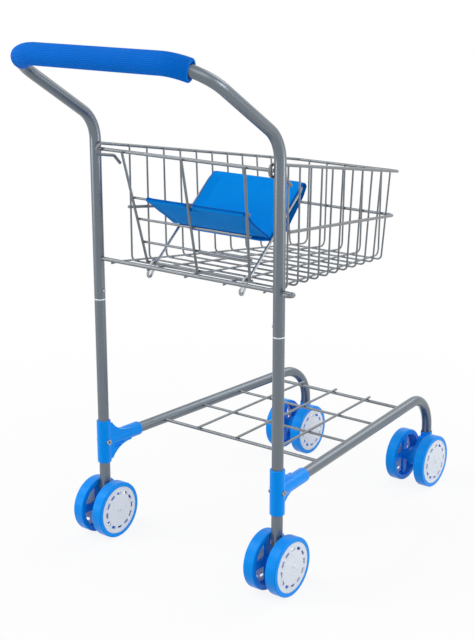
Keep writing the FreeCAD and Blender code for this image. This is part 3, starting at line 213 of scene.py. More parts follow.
def give_values(made: Piece, name: str, values: Array) -> None:
    """Store one number for each vertex, to be read in a material."""
    layer = made.data.attributes.new(name, "FLOAT", "POINT")
    layer.data.foreach_set("value", values.astype(np.float32).ravel())


def face_outward(made: Piece) -> None:
    """Turn a closed mesh inside out if its enclosed volume comes out negative."""
    mesh = made.data
    points = np.empty(len(mesh.vertices) * 3, dtype=np.float32)
    mesh.vertices.foreach_get("co", points)
    mesh.calc_loop_triangles()
    corners = np.empty(len(mesh.loop_triangles) * 3, dtype=np.int32)
    mesh.loop_triangles.foreach_get("vertices", corners)
    a, b, c = points.reshape(-1, 3).astype(float)[corners.reshape(-1, 3)].transpose(1, 0, 2)
    if float(np.einsum("ij,ij->i", a, np.cross(b, c)).sum()) < 0.0:
        mesh.flip_normals()


def thick_sheet(middle: Array, thickness: Array, kept: Array) -> tuple[Array, Array]:
    """Closed cloth round a middle surface.

    Each point is moved half the thickness along the surface normal for one face and against it
    for the other. Where a kept quad has no kept neighbour, a quad closes the edge between them.

    Args:
        middle: array of shape (rows, columns, 3).
        thickness: array of shape (rows, columns).
        kept: which quads of the grid are there, shape (rows - 1, columns - 1).

    Returns:
        Points of shape (2, rows, columns, 3) and quads.
    """
    along = np.gradient(middle, axis=0)
    across = np.gradient(middle, axis=1)
    normal = unit(np.cross(along, across)) * (thickness[..., None] / 2.0)
    points = np.stack([middle + normal, middle - normal])
    quads = grid_faces(*thickness.shape)
    count = thickness.size
    upper = quads[kept.ravel()]
    around = np.pad(kept, 1)
    shifted = (around[:-2, 1:-1], around[1:-1, 2:], around[2:, 1:-1], around[1:-1, :-2])
    rims = []
    for corner, neighbour in enumerate(shifted):
        edge = quads[(kept & ~neighbour).ravel()]
        start, end = edge[:, corner], edge[:, (corner + 1) % 4]
        rims.append(np.stack([end, start, start + count, end + count], axis=1))
    return points, np.concatenate([upper, upper[:, ::-1] + count, *rims])


BEAD_RINGS, BEAD_SIDES = 5, 8
BEAD_POLE = 0.02  # radians from the pole to the first ring
OCTAGON = np.array([[0, 1, 2, 3], [0, 3, 4, 7], [4, 5, 6, 7]])


def beads(places: Array, long_way: Array, reach: Array, girth: Array) -> tuple[Array, Array]:
    """Many small rounded beads.

    A bead is a sphere on a grid of latitude and longitude, stretched by reach along its long way
    and by girth across it. Three quads close the small octagon left open at each pole.

    Args:
        places: centres, shape (n, 3).
        long_way: unit directions, shape (n, 3).
        reach: half lengths, shape (n,).
        girth: half widths, shape (n,).

    Returns:
        Points and quads.
    """
    latitude = np.linspace(BEAD_POLE, math.pi - BEAD_POLE, BEAD_RINGS)
    longitude = np.arange(BEAD_SIDES) * (2.0 * math.pi / BEAD_SIDES)
    helper = np.where(np.abs(long_way[:, 2:3]) > 0.9, [[1.0, 0.0, 0.0]], [[0.0, 0.0, 1.0]])
    first = unit(np.cross(long_way, helper))
    second = np.cross(long_way, first)
    height = np.cos(latitude)[None, :, None, None]
    width = np.sin(latitude)[None, :, None, None]
    turn_x = np.cos(longitude)[None, None, :, None]
    turn_y = np.sin(longitude)[None, None, :, None]
    girth, reach = girth[:, None, None, None], reach[:, None, None, None]
    long_way, first, second = (v[:, None, None, :] for v in (long_way, first, second))
    points = places[:, None, None, :] + long_way * height * reach
    points = points + (first * turn_x + second * turn_y) * width * girth
    faces = grid_faces(BEAD_RINGS, BEAD_SIDES, wrap_columns=True)
    last = (BEAD_RINGS - 1) * BEAD_SIDES
    one = np.concatenate([faces, OCTAGON[:, ::-1], OCTAGON + last])
    starts = np.arange(len(places))[:, None, None] * (BEAD_RINGS * BEAD_SIDES)
    return points, (one[None] + starts).reshape(-1, 4)


# ---------------------------------------------------------------- shader nodes


class Nodes:
    """A shader tree with short calls to add, set and join its nodes."""

    def __init__(self, tree: Tree) -> None:
        """Keep the tree that the calls work on."""
        self.tree = tree

    def add(
        self, kind: str, sockets: dict[str, Any] | None = None, **settings: Any
    ) -> bpy.types.Node:
        """Add a node.

        Args:
            kind: the node's type name, without the leading ShaderNode.
            sockets: input name to a value, or to the output socket that feeds it.
            settings: the node's own properties.

        Returns:
            The node.
        """
        node = self.tree.nodes.new(kind if kind.startswith("Node") else f"ShaderNode{kind}")
        for name, value in settings.items():
            setattr(node, name, value)
        for name, value in (sockets or {}).items():
            self.feed(node, name, value)
        return node

    def feed(self, node: bpy.types.Node, name: str, value: Any) -> None:
        """Set an input, given by name or by position, or join an output to it."""
        socket = node.inputs[int(name)] if name.isdigit() else node.inputs[name]
        if isinstance(value, bpy.types.NodeSocket):
            self.tree.links.new(value, socket)
        else:
            socket.default_value = value

    def group(self, tree: Tree, sockets: dict[str, Any]) -> bpy.types.Node:
        """Put a shared effect into a material with its own values."""
        node = self.add("Group", node_tree=tree)
        for name, value in sockets.items():
            self.feed(node, name, value)
        return node

    def maths(self, operation: str, first: Any, second: Any = 0.0, clamp: bool = False) -> Any:
        """Output of a Math node on one or two values."""
        node = self.add("Math", {"0": first, "1": second}, operation=operation, use_clamp=clamp)
        return node.outputs[0]

    def times(self, first: Any, second: Any, clamp: bool = False) -> Any:
        """Product of two values."""
        return self.maths("MULTIPLY", first, second, clamp)

    def plus(self, first: Any, second: Any, clamp: bool = False) -> Any:
        """Sum of two values."""
        return self.maths("ADD", first, second, clamp)

    def blend_colours(self, share: Any, first: Any, second: Any) -> Any:
        """Colour between first, at share 0, and second, at share 1."""
        node = self.add("Mix", {"0": share, "6": first, "7": second}, data_type="RGBA")
        return node.outputs[2]

    def between(self, value: Any, low: Any, high: Any, start: Any = 0.0, end: Any = 1.0) -> Any:
        """Value moved from the range low to high into the range start to end, and held there."""
        sockets = {"Value": value, "From Min": low, "From Max": high}
        sockets |= {"To Min": start, "To Max": end}
        return self.add("MapRange", sockets, clamp=True).outputs["Result"]

    def noise(self, place: Any, scale: Any, detail: float = 3.0, rough: float = 0.5) -> Any:
        """Smooth noise from 0 to 1."""
        sockets = {"Vector": place, "Scale": scale, "Detail": detail, "Roughness": rough}
        return self.add("TexNoise", sockets).outputs["Fac"]


class Value(Enum):
    """Socket kinds of the shared effects."""

    NUMBER = "NodeSocketFloat"
    COLOUR = "NodeSocketColor"
    PLACE = "NodeSocketVector"


def effect(name: str, inputs: dict[str, tuple[Value, Any]], outputs: dict[str, Value]) -> tuple:
    """Begin a shared effect as a node group, which always has the pattern's place as an input.

    Args:
        name: the group's name.
        inputs: name of each further input to its kind and starting value.
        outputs: output name to its kind.

    Returns:
        The group, its Nodes, its input sockets by name and its output node.
    """
    group = bpy.data.node_groups.new(name, "ShaderNodeTree")
    group.interface.new_socket("Place", in_out="INPUT", socket_type=Value.PLACE.value)
    for label, (kind, start) in inputs.items():
        socket = group.interface.new_socket(label, in_out="INPUT", socket_type=kind.value)
        socket.default_value = start
    for label, kind in outputs.items():
        group.interface.new_socket(label, in_out="OUTPUT", socket_type=kind.value)
    nodes = Nodes(group)
    source = nodes.add("NodeGroupInput")
    target = nodes.add("NodeGroupOutput")
    return group, nodes, source.outputs, target


MID_GREY = (0.5, 0.5, 0.5, 1.0)
WHITE = (1.0, 1.0, 1.0, 1.0)


@cache
def fine_grain() -> Tree:
    """Pitted or pebbled surface: two sizes of noise as a height and as a mask of the hollows."""
    inputs = {"Scale": (Value.NUMBER, 900.0)}
    outputs = {"Height": Value.NUMBER, "Hollows": Value.NUMBER}
    group, nodes, given, target = effect("Fine grain", inputs, outputs)
    coarse = nodes.noise(given["Place"], given["Scale"], detail=2.0)
    fine = nodes.noise(given["Place"], nodes.times(given["Scale"], 3.1), detail=3.0)
    large, small = nodes.times(coarse, 0.7), nodes.times(fine, 0.3)
    height = nodes.plus(large, small)
    nodes.feed(target, "Height", height)
    nodes.feed(target, "Hollows", nodes.between(height, 0.62, 0.38))
    return group


@cache
def uneven_tone() -> Tree:
    """Slow drift of a colour between a darker and a lighter tone of itself."""
    inputs = {
        "Colour": (Value.COLOUR, MID_GREY),
        "Scale": (Value.NUMBER, 12.0),
        "Amount": (Value.NUMBER, 0.1),
    }
    group, nodes, given, target = effect("Uneven tone", inputs, {"Colour": Value.COLOUR})
    drift = nodes.noise(given["Place"], given["Scale"], detail=4.0, rough=0.6)
    signed = nodes.maths("SUBTRACT", nodes.between(drift, 0.3, 0.7), 0.5)
    gain = nodes.plus(nodes.times(signed, given["Amount"]), 1.0)
    tone = nodes.add("HueSaturation", {"Value": gain, "Color": given["Colour"]})
    nodes.feed(target, "Colour", tone.outputs["Color"])
    return group


@cache
def settled_dust() -> Tree:
    """Thin dust where the surface faces up, broken up by noise."""
    inputs = {
        "Colour": (Value.COLOUR, MID_GREY),
        "Dust": (Value.COLOUR, (0.62, 0.60, 0.57, 1.0)),
        "Amount": (Value.NUMBER, 0.1),
    }
    outputs = {"Colour": Value.COLOUR, "Cover": Value.NUMBER}
    group, nodes, given, target = effect("Settled dust", inputs, outputs)
    facing = nodes.add("NewGeometry").outputs["Normal"]
    upward = nodes.add("SeparateXYZ", {"Vector": facing}).outputs["Z"]
    patch = nodes.between(nodes.noise(given["Place"], 60.0, detail=5.0, rough=0.65), 0.35, 0.7)
    cover = nodes.times(nodes.between(upward, 0.2, 1.0), patch)
    cover = nodes.times(cover, given["Amount"], clamp=True)
    nodes.feed(target, "Colour", nodes.blend_colours(cover, given["Colour"], given["Dust"]))
    nodes.feed(target, "Cover", cover)
    return group


@cache
def fine_scratches() -> Tree:
    """Sparse thin scratches: noise stretched along one axis and cut to its crests."""
    inputs = {"Stretch": (Value.PLACE, (900.0, 900.0, 14.0)), "Amount": (Value.NUMBER, 0.5)}
    group, nodes, given, target = effect("Fine scratches", inputs, {"Mask": Value.NUMBER})
    factors = {"0": given["Place"], "1": given["Stretch"]}
    stretched = nodes.add("VectorMath", factors, operation="MULTIPLY")
    lines = nodes.between(nodes.noise(stretched.outputs[0], 1.0, detail=1.0), 0.66, 0.74)
    zone = nodes.between(nodes.noise(given["Place"], 25.0, detail=2.0), 0.45, 0.6)
    mask = nodes.times(lines, zone)
    nodes.feed(target, "Mask", nodes.times(mask, given["Amount"]))
    return group


@cache
def plain_weave() -> Tree:
    """Plain weave: warp and weft threads as two wave trains that pass over each other in turn.

    The height of a warp thread is the bump of its own width times the crest where it passes over,
    and the weft has the same with the crest shifted by half a turn; the cloth shows the higher.
    """
    outputs = {"Height": Value.NUMBER, "Warp": Value.NUMBER}
    inputs = {"Threads": (Value.NUMBER, 2200.0)}
    group, nodes, given, target = effect("Plain weave", inputs, outputs)
    parts = nodes.add("SeparateXYZ", {"Vector": given["Place"]})
    turn = nodes.times(given["Threads"], math.pi)
    angle_u = nodes.times(parts.outputs["X"], turn)
    angle_v = nodes.times(parts.outputs["Y"], turn)
    wave_u, wave_v = nodes.maths("SINE", angle_u), nodes.maths("SINE", angle_v)
    over = nodes.times(nodes.maths("COSINE", angle_u), nodes.maths("COSINE", angle_v))
    crest = nodes.times(over, 0.5)
    above, below = nodes.plus(crest, 0.6), nodes.maths("SUBTRACT", 0.6, crest)
    warp = nodes.times(nodes.maths("ABSOLUTE", wave_u), above)
    weft = nodes.times(nodes.maths("ABSOLUTE", wave_v), below)
    nodes.feed(target, "Height", nodes.maths("MAXIMUM", warp, weft))
    nodes.feed(target, "Warp", nodes.maths("GREATER_THAN", warp, weft))
    return group


def new_nodes(owner: bpy.types.Material | bpy.types.World) -> Nodes:
    """The emptied node tree of a new material or world."""
    owner.use_nodes = True
    owner.node_tree.nodes.clear()
    return Nodes(owner.node_tree)


def linear(red: int, green: int, blue: int) -> tuple[float, float, float, float]:
    """Scene-linear colour of a colour given as it shows on a screen, 0 to 255 each."""
    shares = [component / 255.0 for component in (red, green, blue)]
    straight = [s / 12.92 if s <= 0.04045 else ((s + 0.055) / 1.055) ** 2.4 for s in shares]
    return (*straight, 1.0)


COAT_ROUGHNESS = 0.12
DEPTH_SHARE = 0.5
DEPTH_BY_COLOUR = (1.0, 0.95, 0.9)
CREST_ROUGHNESS, HOLLOW_ROUGHNESS = 0.85, 1.2  # times the middle roughness
DUST_ROUGHNESS = 0.35  # added where dust lies


@dataclass(frozen=True)
class Finish:
    """A material of the trolley.

    Attributes:
        name: material name.
        colour: base colour as it shows on a screen.
        roughness: middle roughness.
        metallic: share of metal in the shader.
        grain: bumps per metre of the fine grain.
        relief: height of the grain in metres.
        unevenness: drift of the base colour.
        dust: amount of dust on faces that look up.
        coat: weight of the clear coat.
        specular: strength of the mirror reflection.
        mirror_colour: colour of the mirror reflection seen head on.
        depth: how far light goes into the material, in metres; 0 for none.
    """

    name: str
    colour: Colour
    roughness: float
    metallic: float = 0.0
    grain: float = 900.0
    relief: float = 0.00003
    unevenness: float = 0.1
    dust: float = 0.1
    coat: float = 0.0
    specular: float = 0.5
    mirror_colour: Colour = (255, 255, 255)
    depth: float = 0.0

    def build(self) -> bpy.types.Material:
        """Make the material, with its nodes."""
        material = bpy.data.materials.new(self.name)
        material.diffuse_color = linear(*self.colour)
        nodes = new_nodes(material)
        colour, roughness, height = self.surface(nodes, self.pattern_place(nodes))
        bump = nodes.add("Bump", {"Height": height, "Distance": self.relief, "Strength": 1.0})
        sockets = {
            "Base Color": colour,
            "Roughness": roughness,
            "Normal": bump.outputs["Normal"],
            "Metallic": self.metallic,
            "Coat Weight": self.coat,
            "Coat Roughness": COAT_ROUGHNESS,
            "Specular IOR Level": self.specular,
            "Specular Tint": linear(*self.mirror_colour),
        }
        if self.depth > 0.0:
            sockets["Subsurface Weight"] = DEPTH_SHARE
            sockets["Subsurface Radius"] = DEPTH_BY_COLOUR
            sockets["Subsurface Scale"] = self.depth
        shader = nodes.add("BsdfPrincipled", sockets)
        nodes.add("OutputMaterial", {"Surface": shader.outputs["BSDF"]})
        return material

    def pattern_place(self, nodes: Nodes) -> Any:
        """Coordinates that the pattern follows."""
        return nodes.add("TexCoord").outputs["Object"]

    def surface(self, nodes: Nodes, place: Any) -> tuple[Any, Any, Any]:
        """Colour, roughness and height of the surface.

        Args:
            nodes: the material's nodes.
            place: coordinates of the pattern.

        Returns:
            Three output sockets.
        """
        grain = nodes.group(fine_grain(), {"Place": place, "Scale": self.grain})
        sockets = {"Place": place, "Colour": linear(*self.colour), "Amount": self.unevenness}
        tone = nodes.group(uneven_tone(), sockets)
        sockets = {"Place": place, "Colour": tone.outputs["Colour"], "Amount": self.dust}
        dust = nodes.group(settled_dust(), sockets)
        smooth, coarse = self.roughness * CREST_ROUGHNESS, self.roughness * HOLLOW_ROUGHNESS
        rough = nodes.between(grain.outputs["Hollows"], 0.0, 1.0, smooth, coarse)
        dusty = nodes.times(dust.outputs["Cover"], DUST_ROUGHNESS)
        rough = nodes.plus(rough, dusty, clamp=True)
        return dust.outputs["Colour"], rough, grain.outputs["Height"]


@dataclass(frozen=True)
class ScratchedFinish(Finish):
    """A finish with thin scratches, paler or darker than itself.

    Attributes:
        scratch_colour: what a scratch shows.
        scratch_amount: strength of the scratches.
        stretch: pattern scale along each axis; the small one is the scratches' direction.
    """

    scratch_colour: Colour = (200, 202, 205)
    scratch_amount: float = 0.5
    stretch: Triple = (900.0, 900.0, 14.0)

    def surface(self, nodes: Nodes, place: Any) -> tuple[Any, Any, Any]:
        """The plain surface with scratches let into its colour, roughness and height."""
        colour, roughness, height = super().surface(nodes, place)
        sockets = {"Place": place, "Stretch": self.stretch, "Amount": self.scratch_amount}
        mask = nodes.group(fine_scratches(), sockets).outputs["Mask"]
        colour = nodes.blend_colours(mask, colour, linear(*self.scratch_colour))
        roughness = nodes.plus(roughness, nodes.times(mask, 0.15), clamp=True)
        height = nodes.maths("SUBTRACT", height, nodes.times(mask, 0.6))
        return colour, roughness, height


@dataclass(frozen=True)
class WovenFinish(Finish):
    """Plain-woven cloth, patterned on the piece's own UV map.

    Attributes:
        threads: threads per metre.
        weft_colour: colour of the crossing threads.
        edge_shade_colour: colour of the painted shade on the folded edges.
        edge_shade_amount: strength of that painted shade.
    """

    threads: float = 2400.0
    weft_colour: Colour = (8, 156, 250)
    # colour and strength of the painted shade on the folded edges
    edge_shade_colour: Colour = (6, 70, 170)
    edge_shade_amount: float = 0.75

    def pattern_place(self, nodes: Nodes) -> Any:
        """The cloth's own length and width in metres."""
        return nodes.add("UVMap", uv_map=CLOTH_UV).outputs["UV"]

    def surface(self, nodes: Nodes, place: Any) -> tuple[Any, Any, Any]:
        """Two tones of thread with a slow drift, with painted shade between the threads and on the
        folded edges.
        """
        weave = nodes.group(plain_weave(), {"Place": place, "Threads": self.threads})
        warp = weave.outputs["Warp"]
        threads = nodes.blend_colours(warp, linear(*self.weft_colour), linear(*self.colour))
        sockets = {"Place": place, "Colour": threads, "Scale": 30.0, "Amount": self.unevenness}
        tone = nodes.group(uneven_tone(), sockets).outputs["Colour"]
        height = weave.outputs["Height"]
        # painted shade: the colour is darkened in the low parts of the weave, between the threads
        painted_shade = nodes.between(height, 0.0, 0.8, 0.88, 1.0)
        colour = nodes.add("HueSaturation", {"Value": painted_shade, "Color": tone}).outputs["Color"]
        # painted shade: darker cloth on the folded edges, over the top bar and round the gate wire
        hem = nodes.add("Attribute", attribute_name=PAINTED_EDGE_SHADE).outputs["Fac"]
        share = nodes.times(hem, self.edge_shade_amount)
        colour = nodes.blend_colours(share, colour, linear(*self.edge_shade_colour))
        roughness = nodes.between(height, 0.0, 0.8, self.roughness * 1.15, self.roughness * 0.9)
        return colour, roughness, height


BLUE_GLEAM = (60, 170, 255)
PAINTED_TUBE = ScratchedFinish(
    "painted_tube", (110, 118, 126), 0.29, metallic=0.75, grain=3000.0, relief=0.000002,
    dust=0.02, coat=0.1, scratch_colour=(134, 140, 145), scratch_amount=0.08,
)
PAINTED_WIRE = ScratchedFinish(
    "painted_wire", (116, 122, 127), 0.34, metallic=0.55, grain=2200.0, relief=0.00002,
    unevenness=0.16, dust=0.05, coat=0.2, scratch_colour=(170, 172, 175), scratch_amount=0.3,
    stretch=(700.0, 40.0, 700.0),
)
PLATED_STEEL = ScratchedFinish(
    "plated_steel", (152, 156, 161), 0.27, metallic=1.0, grain=1800.0, relief=0.00001,
    unevenness=0.14, dust=0.03, scratch_colour=(190, 192, 194), scratch_amount=0.4,
    stretch=(30.0, 900.0, 900.0),
)
# near-white colour of the joint rings: a painted highlight along the joint's rounded edge
JOINT_HIGHLIGHT = Finish("painted_joint_highlight", (226, 230, 234), 0.3, metallic=0.5, grain=1800.0, relief=0.00001)
BLUE_PLASTIC = ScratchedFinish(
    "blue_plastic", (8, 150, 253), 0.32, grain=1600.0, unevenness=0.06, dust=0.03, coat=0.03,
    scratch_colour=(70, 160, 246), scratch_amount=0.3, stretch=(40.0, 900.0, 900.0),
    specular=0.35, mirror_colour=BLUE_GLEAM,
)
WHITE_PLASTIC = ScratchedFinish(
    "white_plastic", (232, 240, 253), 0.34, grain=1300.0, unevenness=0.05, dust=0.06, coat=0.1,
    scratch_colour=(200, 202, 210), scratch_amount=0.3, depth=0.004,
)
GREY_PLASTIC = Finish("grey_plastic", (118, 124, 130), 0.5, grain=1200.0, relief=0.00004)
GRIP_FOAM = Finish(
    "grip_foam", (6, 116, 222), 0.66, grain=3000.0, relief=0.00012, unevenness=0.09,
    dust=0.03, specular=0.14, mirror_colour=BLUE_GLEAM,
)
SEAT_NYLON = WovenFinish(
    "seat_nylon", (2, 146, 248), 0.62, relief=0.00010, unevenness=0.06, specular=0.04,
    mirror_colour=BLUE_GLEAM,
)
SEAT_THREAD = Finish(
    "seat_thread", (4, 96, 200), 0.55, grain=4000.0, relief=0.00006, specular=0.15,
    mirror_colour=BLUE_GLEAM,
)

NODE_FINISHES: dict[str, Finish] = {
    "tube_paint": PAINTED_TUBE,
    "wire_paint": PAINTED_WIRE,
    "plated_steel": PLATED_STEEL,
    "blue_plastic": BLUE_PLASTIC,
    "white_plastic": WHITE_PLASTIC,
    "grey_plastic": GREY_PLASTIC,
    "grip_foam": GRIP_FOAM,
    "seat_fabric": SEAT_NYLON,
}


@cache
def material_of(finish: Finish) -> bpy.types.Material:
    """The material of a finish, built once."""
    return finish.build()


def paint(piece: Piece, finish: Finish) -> None:
    """Give a piece or a CAD node one finish in all its slots."""
    if not piece.material_slots:
        piece.data.materials.append(material_of(finish))
    for slot in piece.material_slots:
        slot.material = material_of(finish)


def painted_object(name: str, points: Array, faces: Array, finish: Finish) -> Piece:
    """A closed piece from quads, with its faces outward and one finish all over."""
    made = mesh_object(name, points, faces)
    face_outward(made)
    paint(made, finish)
    return made


# ---------------------------------------------------------------- sizes shared with the CAD source


@dataclass(frozen=True)
class Layout:
    """The CAD source's values that the dressed pieces need, in metres and degrees."""

    post_half_spacing: float = 0.1245
    tube_diameter: float = 0.0127
    leg_joint_height: float = 0.2895
    handle_bend_height: float = 0.4715
    handle_bend_radius: float = 0.040
    handle_reach: float = 0.131
    handle_rise: float = 0.1041
    handle_corner_radius: float = 0.045
    grip_diameter: float = 0.023
    grip_corner_degrees: float = 42.0
    wheelbase: float = 0.357
    wheel_diameter: float = 0.067
    rail_height: float = 0.1165
    shelf_wire_diameter: float = 0.004
    shelf_start: float = 0.0975
    shelf_pitch: float = 0.069
    shelf_rows: int = 4
    shelf_stub: float = 0.005
    shelf_rear_spread: float = 0.057
    shelf_front_spread: float = 0.0505
    hinge_height: float = 0.4618
    hinge_diameter: float = 0.004
    hook_radius: float = 0.0063
    rim_diameter: float = 0.0036
    rim_front_reach: float = 0.3208
    rim_front_height: float = 0.412
    rim_front_half_width: float = 0.077
    middle_share: float = 0.535
    middle_front_share: float = 0.502
    floor_rear_height: float = 0.3331
    floor_front_height: float = 0.3034
    floor_rear_half_width: float = 0.1139
    floor_front_half_width: float = 0.064
    basket_wire_diameter: float = 0.0022
    weld_sink: float = 0.00004
    cross_wire_start: float = 0.038
    cross_wire_end: float = 0.0228
    cross_wire_count: int = 11
    long_wire_count: int = 5
    long_rear_spread: float = 0.1054
    long_front_spread: float = 0.053
    front_lean: float = 0.0024
    moving_gap: float = 0.0003
    gate_lean_degrees: float = 11.5
    gate_upright_diameter: float = 0.003
    gate_cross_diameter: float = 0.0028
    gate_top_spread: float = 0.083
    gate_foot_spread: float = 0.071
    gate_drops: tuple[float, float, float] = (0.0515, 0.0758, 0.1024)
    seat_wire_diameter: float = 0.0032
    seat_eye_degrees: float = 56.0
    seat_arm_reach: float = 0.1085
    seat_arm_rise: float = 0.0865
    back_panel_start: float = 0.054
    back_panel_foot: float = 0.025
    back_panel_depth: float = 0.010
    pan_hem_shift: float = 0.008
    pan_fold_shift: float = 0.004

    @property
    def post_line(self) -> float:
        """Rear posts against the origin, along the trolley."""
        ahead = self.wheelbase + self.wheel_diameter / 2
        return (self.handle_reach + self.grip_diameter / 2 - ahead) / 2

    @property
    def gate_offsets(self) -> tuple[float, float]:
        """How far the gate's slanting and level wires stand behind its hinge axis."""
        upright = (self.hinge_diameter + self.gate_upright_diameter) / 2 - self.weld_sink
        wires = (self.gate_upright_diameter + self.gate_cross_diameter) / 2
        return upright, upright - wires + self.weld_sink

    def gate_place(self, length: Array | float, offset: float) -> Array:
        """Point of the gate in side view.

        It lies at the hinge plus length times the unit vector down the gate plus offset times the
        unit vector out of its rear side.

        Args:
            length: distance down from the hinge.
            offset: distance behind the hinge's plane.

        Returns:
            (along, up) from the posts' foot.
        """
        lean = math.radians(self.gate_lean_degrees)
        down = np.array([math.sin(lean), -math.cos(lean)])
        rearward = np.array([down[1], -down[0]])
        hinge = np.array([0.0, self.hinge_height])
        return hinge + np.multiply.outer(length, down) + rearward * offset

    @property
    def gate_lengths(self) -> list[float]:
        """Distances down the gate of its four level wires.

        Each of the upper three is its drop over the cosine of the gate's lean. The lowest lies on
        a line that leaves the moving gap above the floor wires. Its distance is the drop to that
        line, over the sum of the line's slope times the lean's sine and the lean's cosine.
        """
        lean = math.radians(self.gate_lean_degrees)
        start = self.gate_place(0.0, self.gate_offsets[1])
        slope = (self.floor_front_height - self.floor_rear_height) / self.rim_front_reach
        clear = (self.basket_wire_diameter + self.gate_cross_diameter) / 2 + self.moving_gap
        floor = self.floor_rear_height + self.basket_wire_diameter - self.weld_sink
        drop = start[1] - (floor + slope * start[0] + clear)
        foot = drop / (slope * math.sin(lean) + math.cos(lean))
        return [level / math.cos(lean) for level in self.gate_drops] + [foot]

    @property
    def seat_pivot(self) -> Array:
        """Axis of the gate's foot wire, as (along, up)."""
        return self.gate_place(self.gate_lengths[-1], self.gate_offsets[1])

    def arm_place(self, length: Array | float, offset: Array | float) -> Array:
        """Point by the seat arms in side view.

        It lies at the arms' foot plus length times the unit vector up the arms plus offset times
        the unit vector out of their rear side.

        Args:
            length: distance up the arms from their foot.
            offset: distance out of their rear side.

        Returns:
            (along, up) from the posts' foot.
        """
        tilt = math.radians(self.seat_eye_degrees)
        wires = (self.gate_cross_diameter + self.seat_wire_diameter) / 2 + self.moving_gap
        start = self.seat_pivot + wires * np.array([math.sin(tilt), -math.cos(tilt)])
        run = unit(self.arm_end - start)
        rearward = np.array([-run[1], run[0]])
        return start + np.multiply.outer(length, run) + np.multiply.outer(offset, rearward)

    @property
    def arm_end(self) -> Array:
        """Where the arms' axes meet the top bar's, as (along, up)."""
        return self.seat_pivot + np.array([self.seat_arm_reach, self.seat_arm_rise])

    @property
    def arm_length(self) -> float:
        """Length of the straight seat arms up to the top bar's axis."""
        return float(np.linalg.norm(self.arm_end - self.arm_place(0.0, 0.0)))

    @property
    def rim_offset(self) -> float:
        """Axis of a rim to the axis of a wire welded to it."""
        return (self.rim_diameter + self.basket_wire_diameter) / 2 - self.weld_sink

    def rim_x(self, along: Array) -> Array:
        """Half width between the top rim's axes, straight from the hooks to the front corners."""
        start = self.post_half_spacing - self.tube_diameter / 2 - self.rim_diameter / 2
        start = start + self.weld_sink
        share = (along + self.hook_radius) / (self.rim_front_reach + self.hook_radius)
        return start + (self.rim_front_half_width - start) * share

    def ahead(self, rear: float, front: float, along: Array) -> Array:
        """Value that goes straight from rear, at the posts, to front, at the basket's front."""
        return rear + (front - rear) * along / self.rim_front_reach

    def rim_z(self, along: Array) -> Array:
        """Height of the top rim's axis."""
        return self.ahead(self.hinge_height + self.hook_radius, self.rim_front_height, along)

    def floor_x(self, along: Array) -> Array:
        """Half width of the basket's floor."""
        return self.ahead(self.floor_rear_half_width, self.floor_front_half_width, along)

    def floor_z(self, along: Array) -> Array:
        """Height of the floor's cross wires."""
        return self.ahead(self.floor_rear_height, self.floor_front_height, along)

    def front_line(self, share: float) -> float:
        """Front wires from the top rim at 0 to the floor at 1, along the trolley."""
        return self.rim_front_reach - self.rim_offset - self.front_lean * share

    def in_row(self, across: Array | float, side_view: Array) -> Array:
        """Points of the trolley's frame from across and (along, up) from the posts' foot."""
        return points_of(across, side_view[..., 0] + self.post_line, side_view[..., 1])


LAYOUT = Layout()


# ---------------------------------------------------------------- foam grip


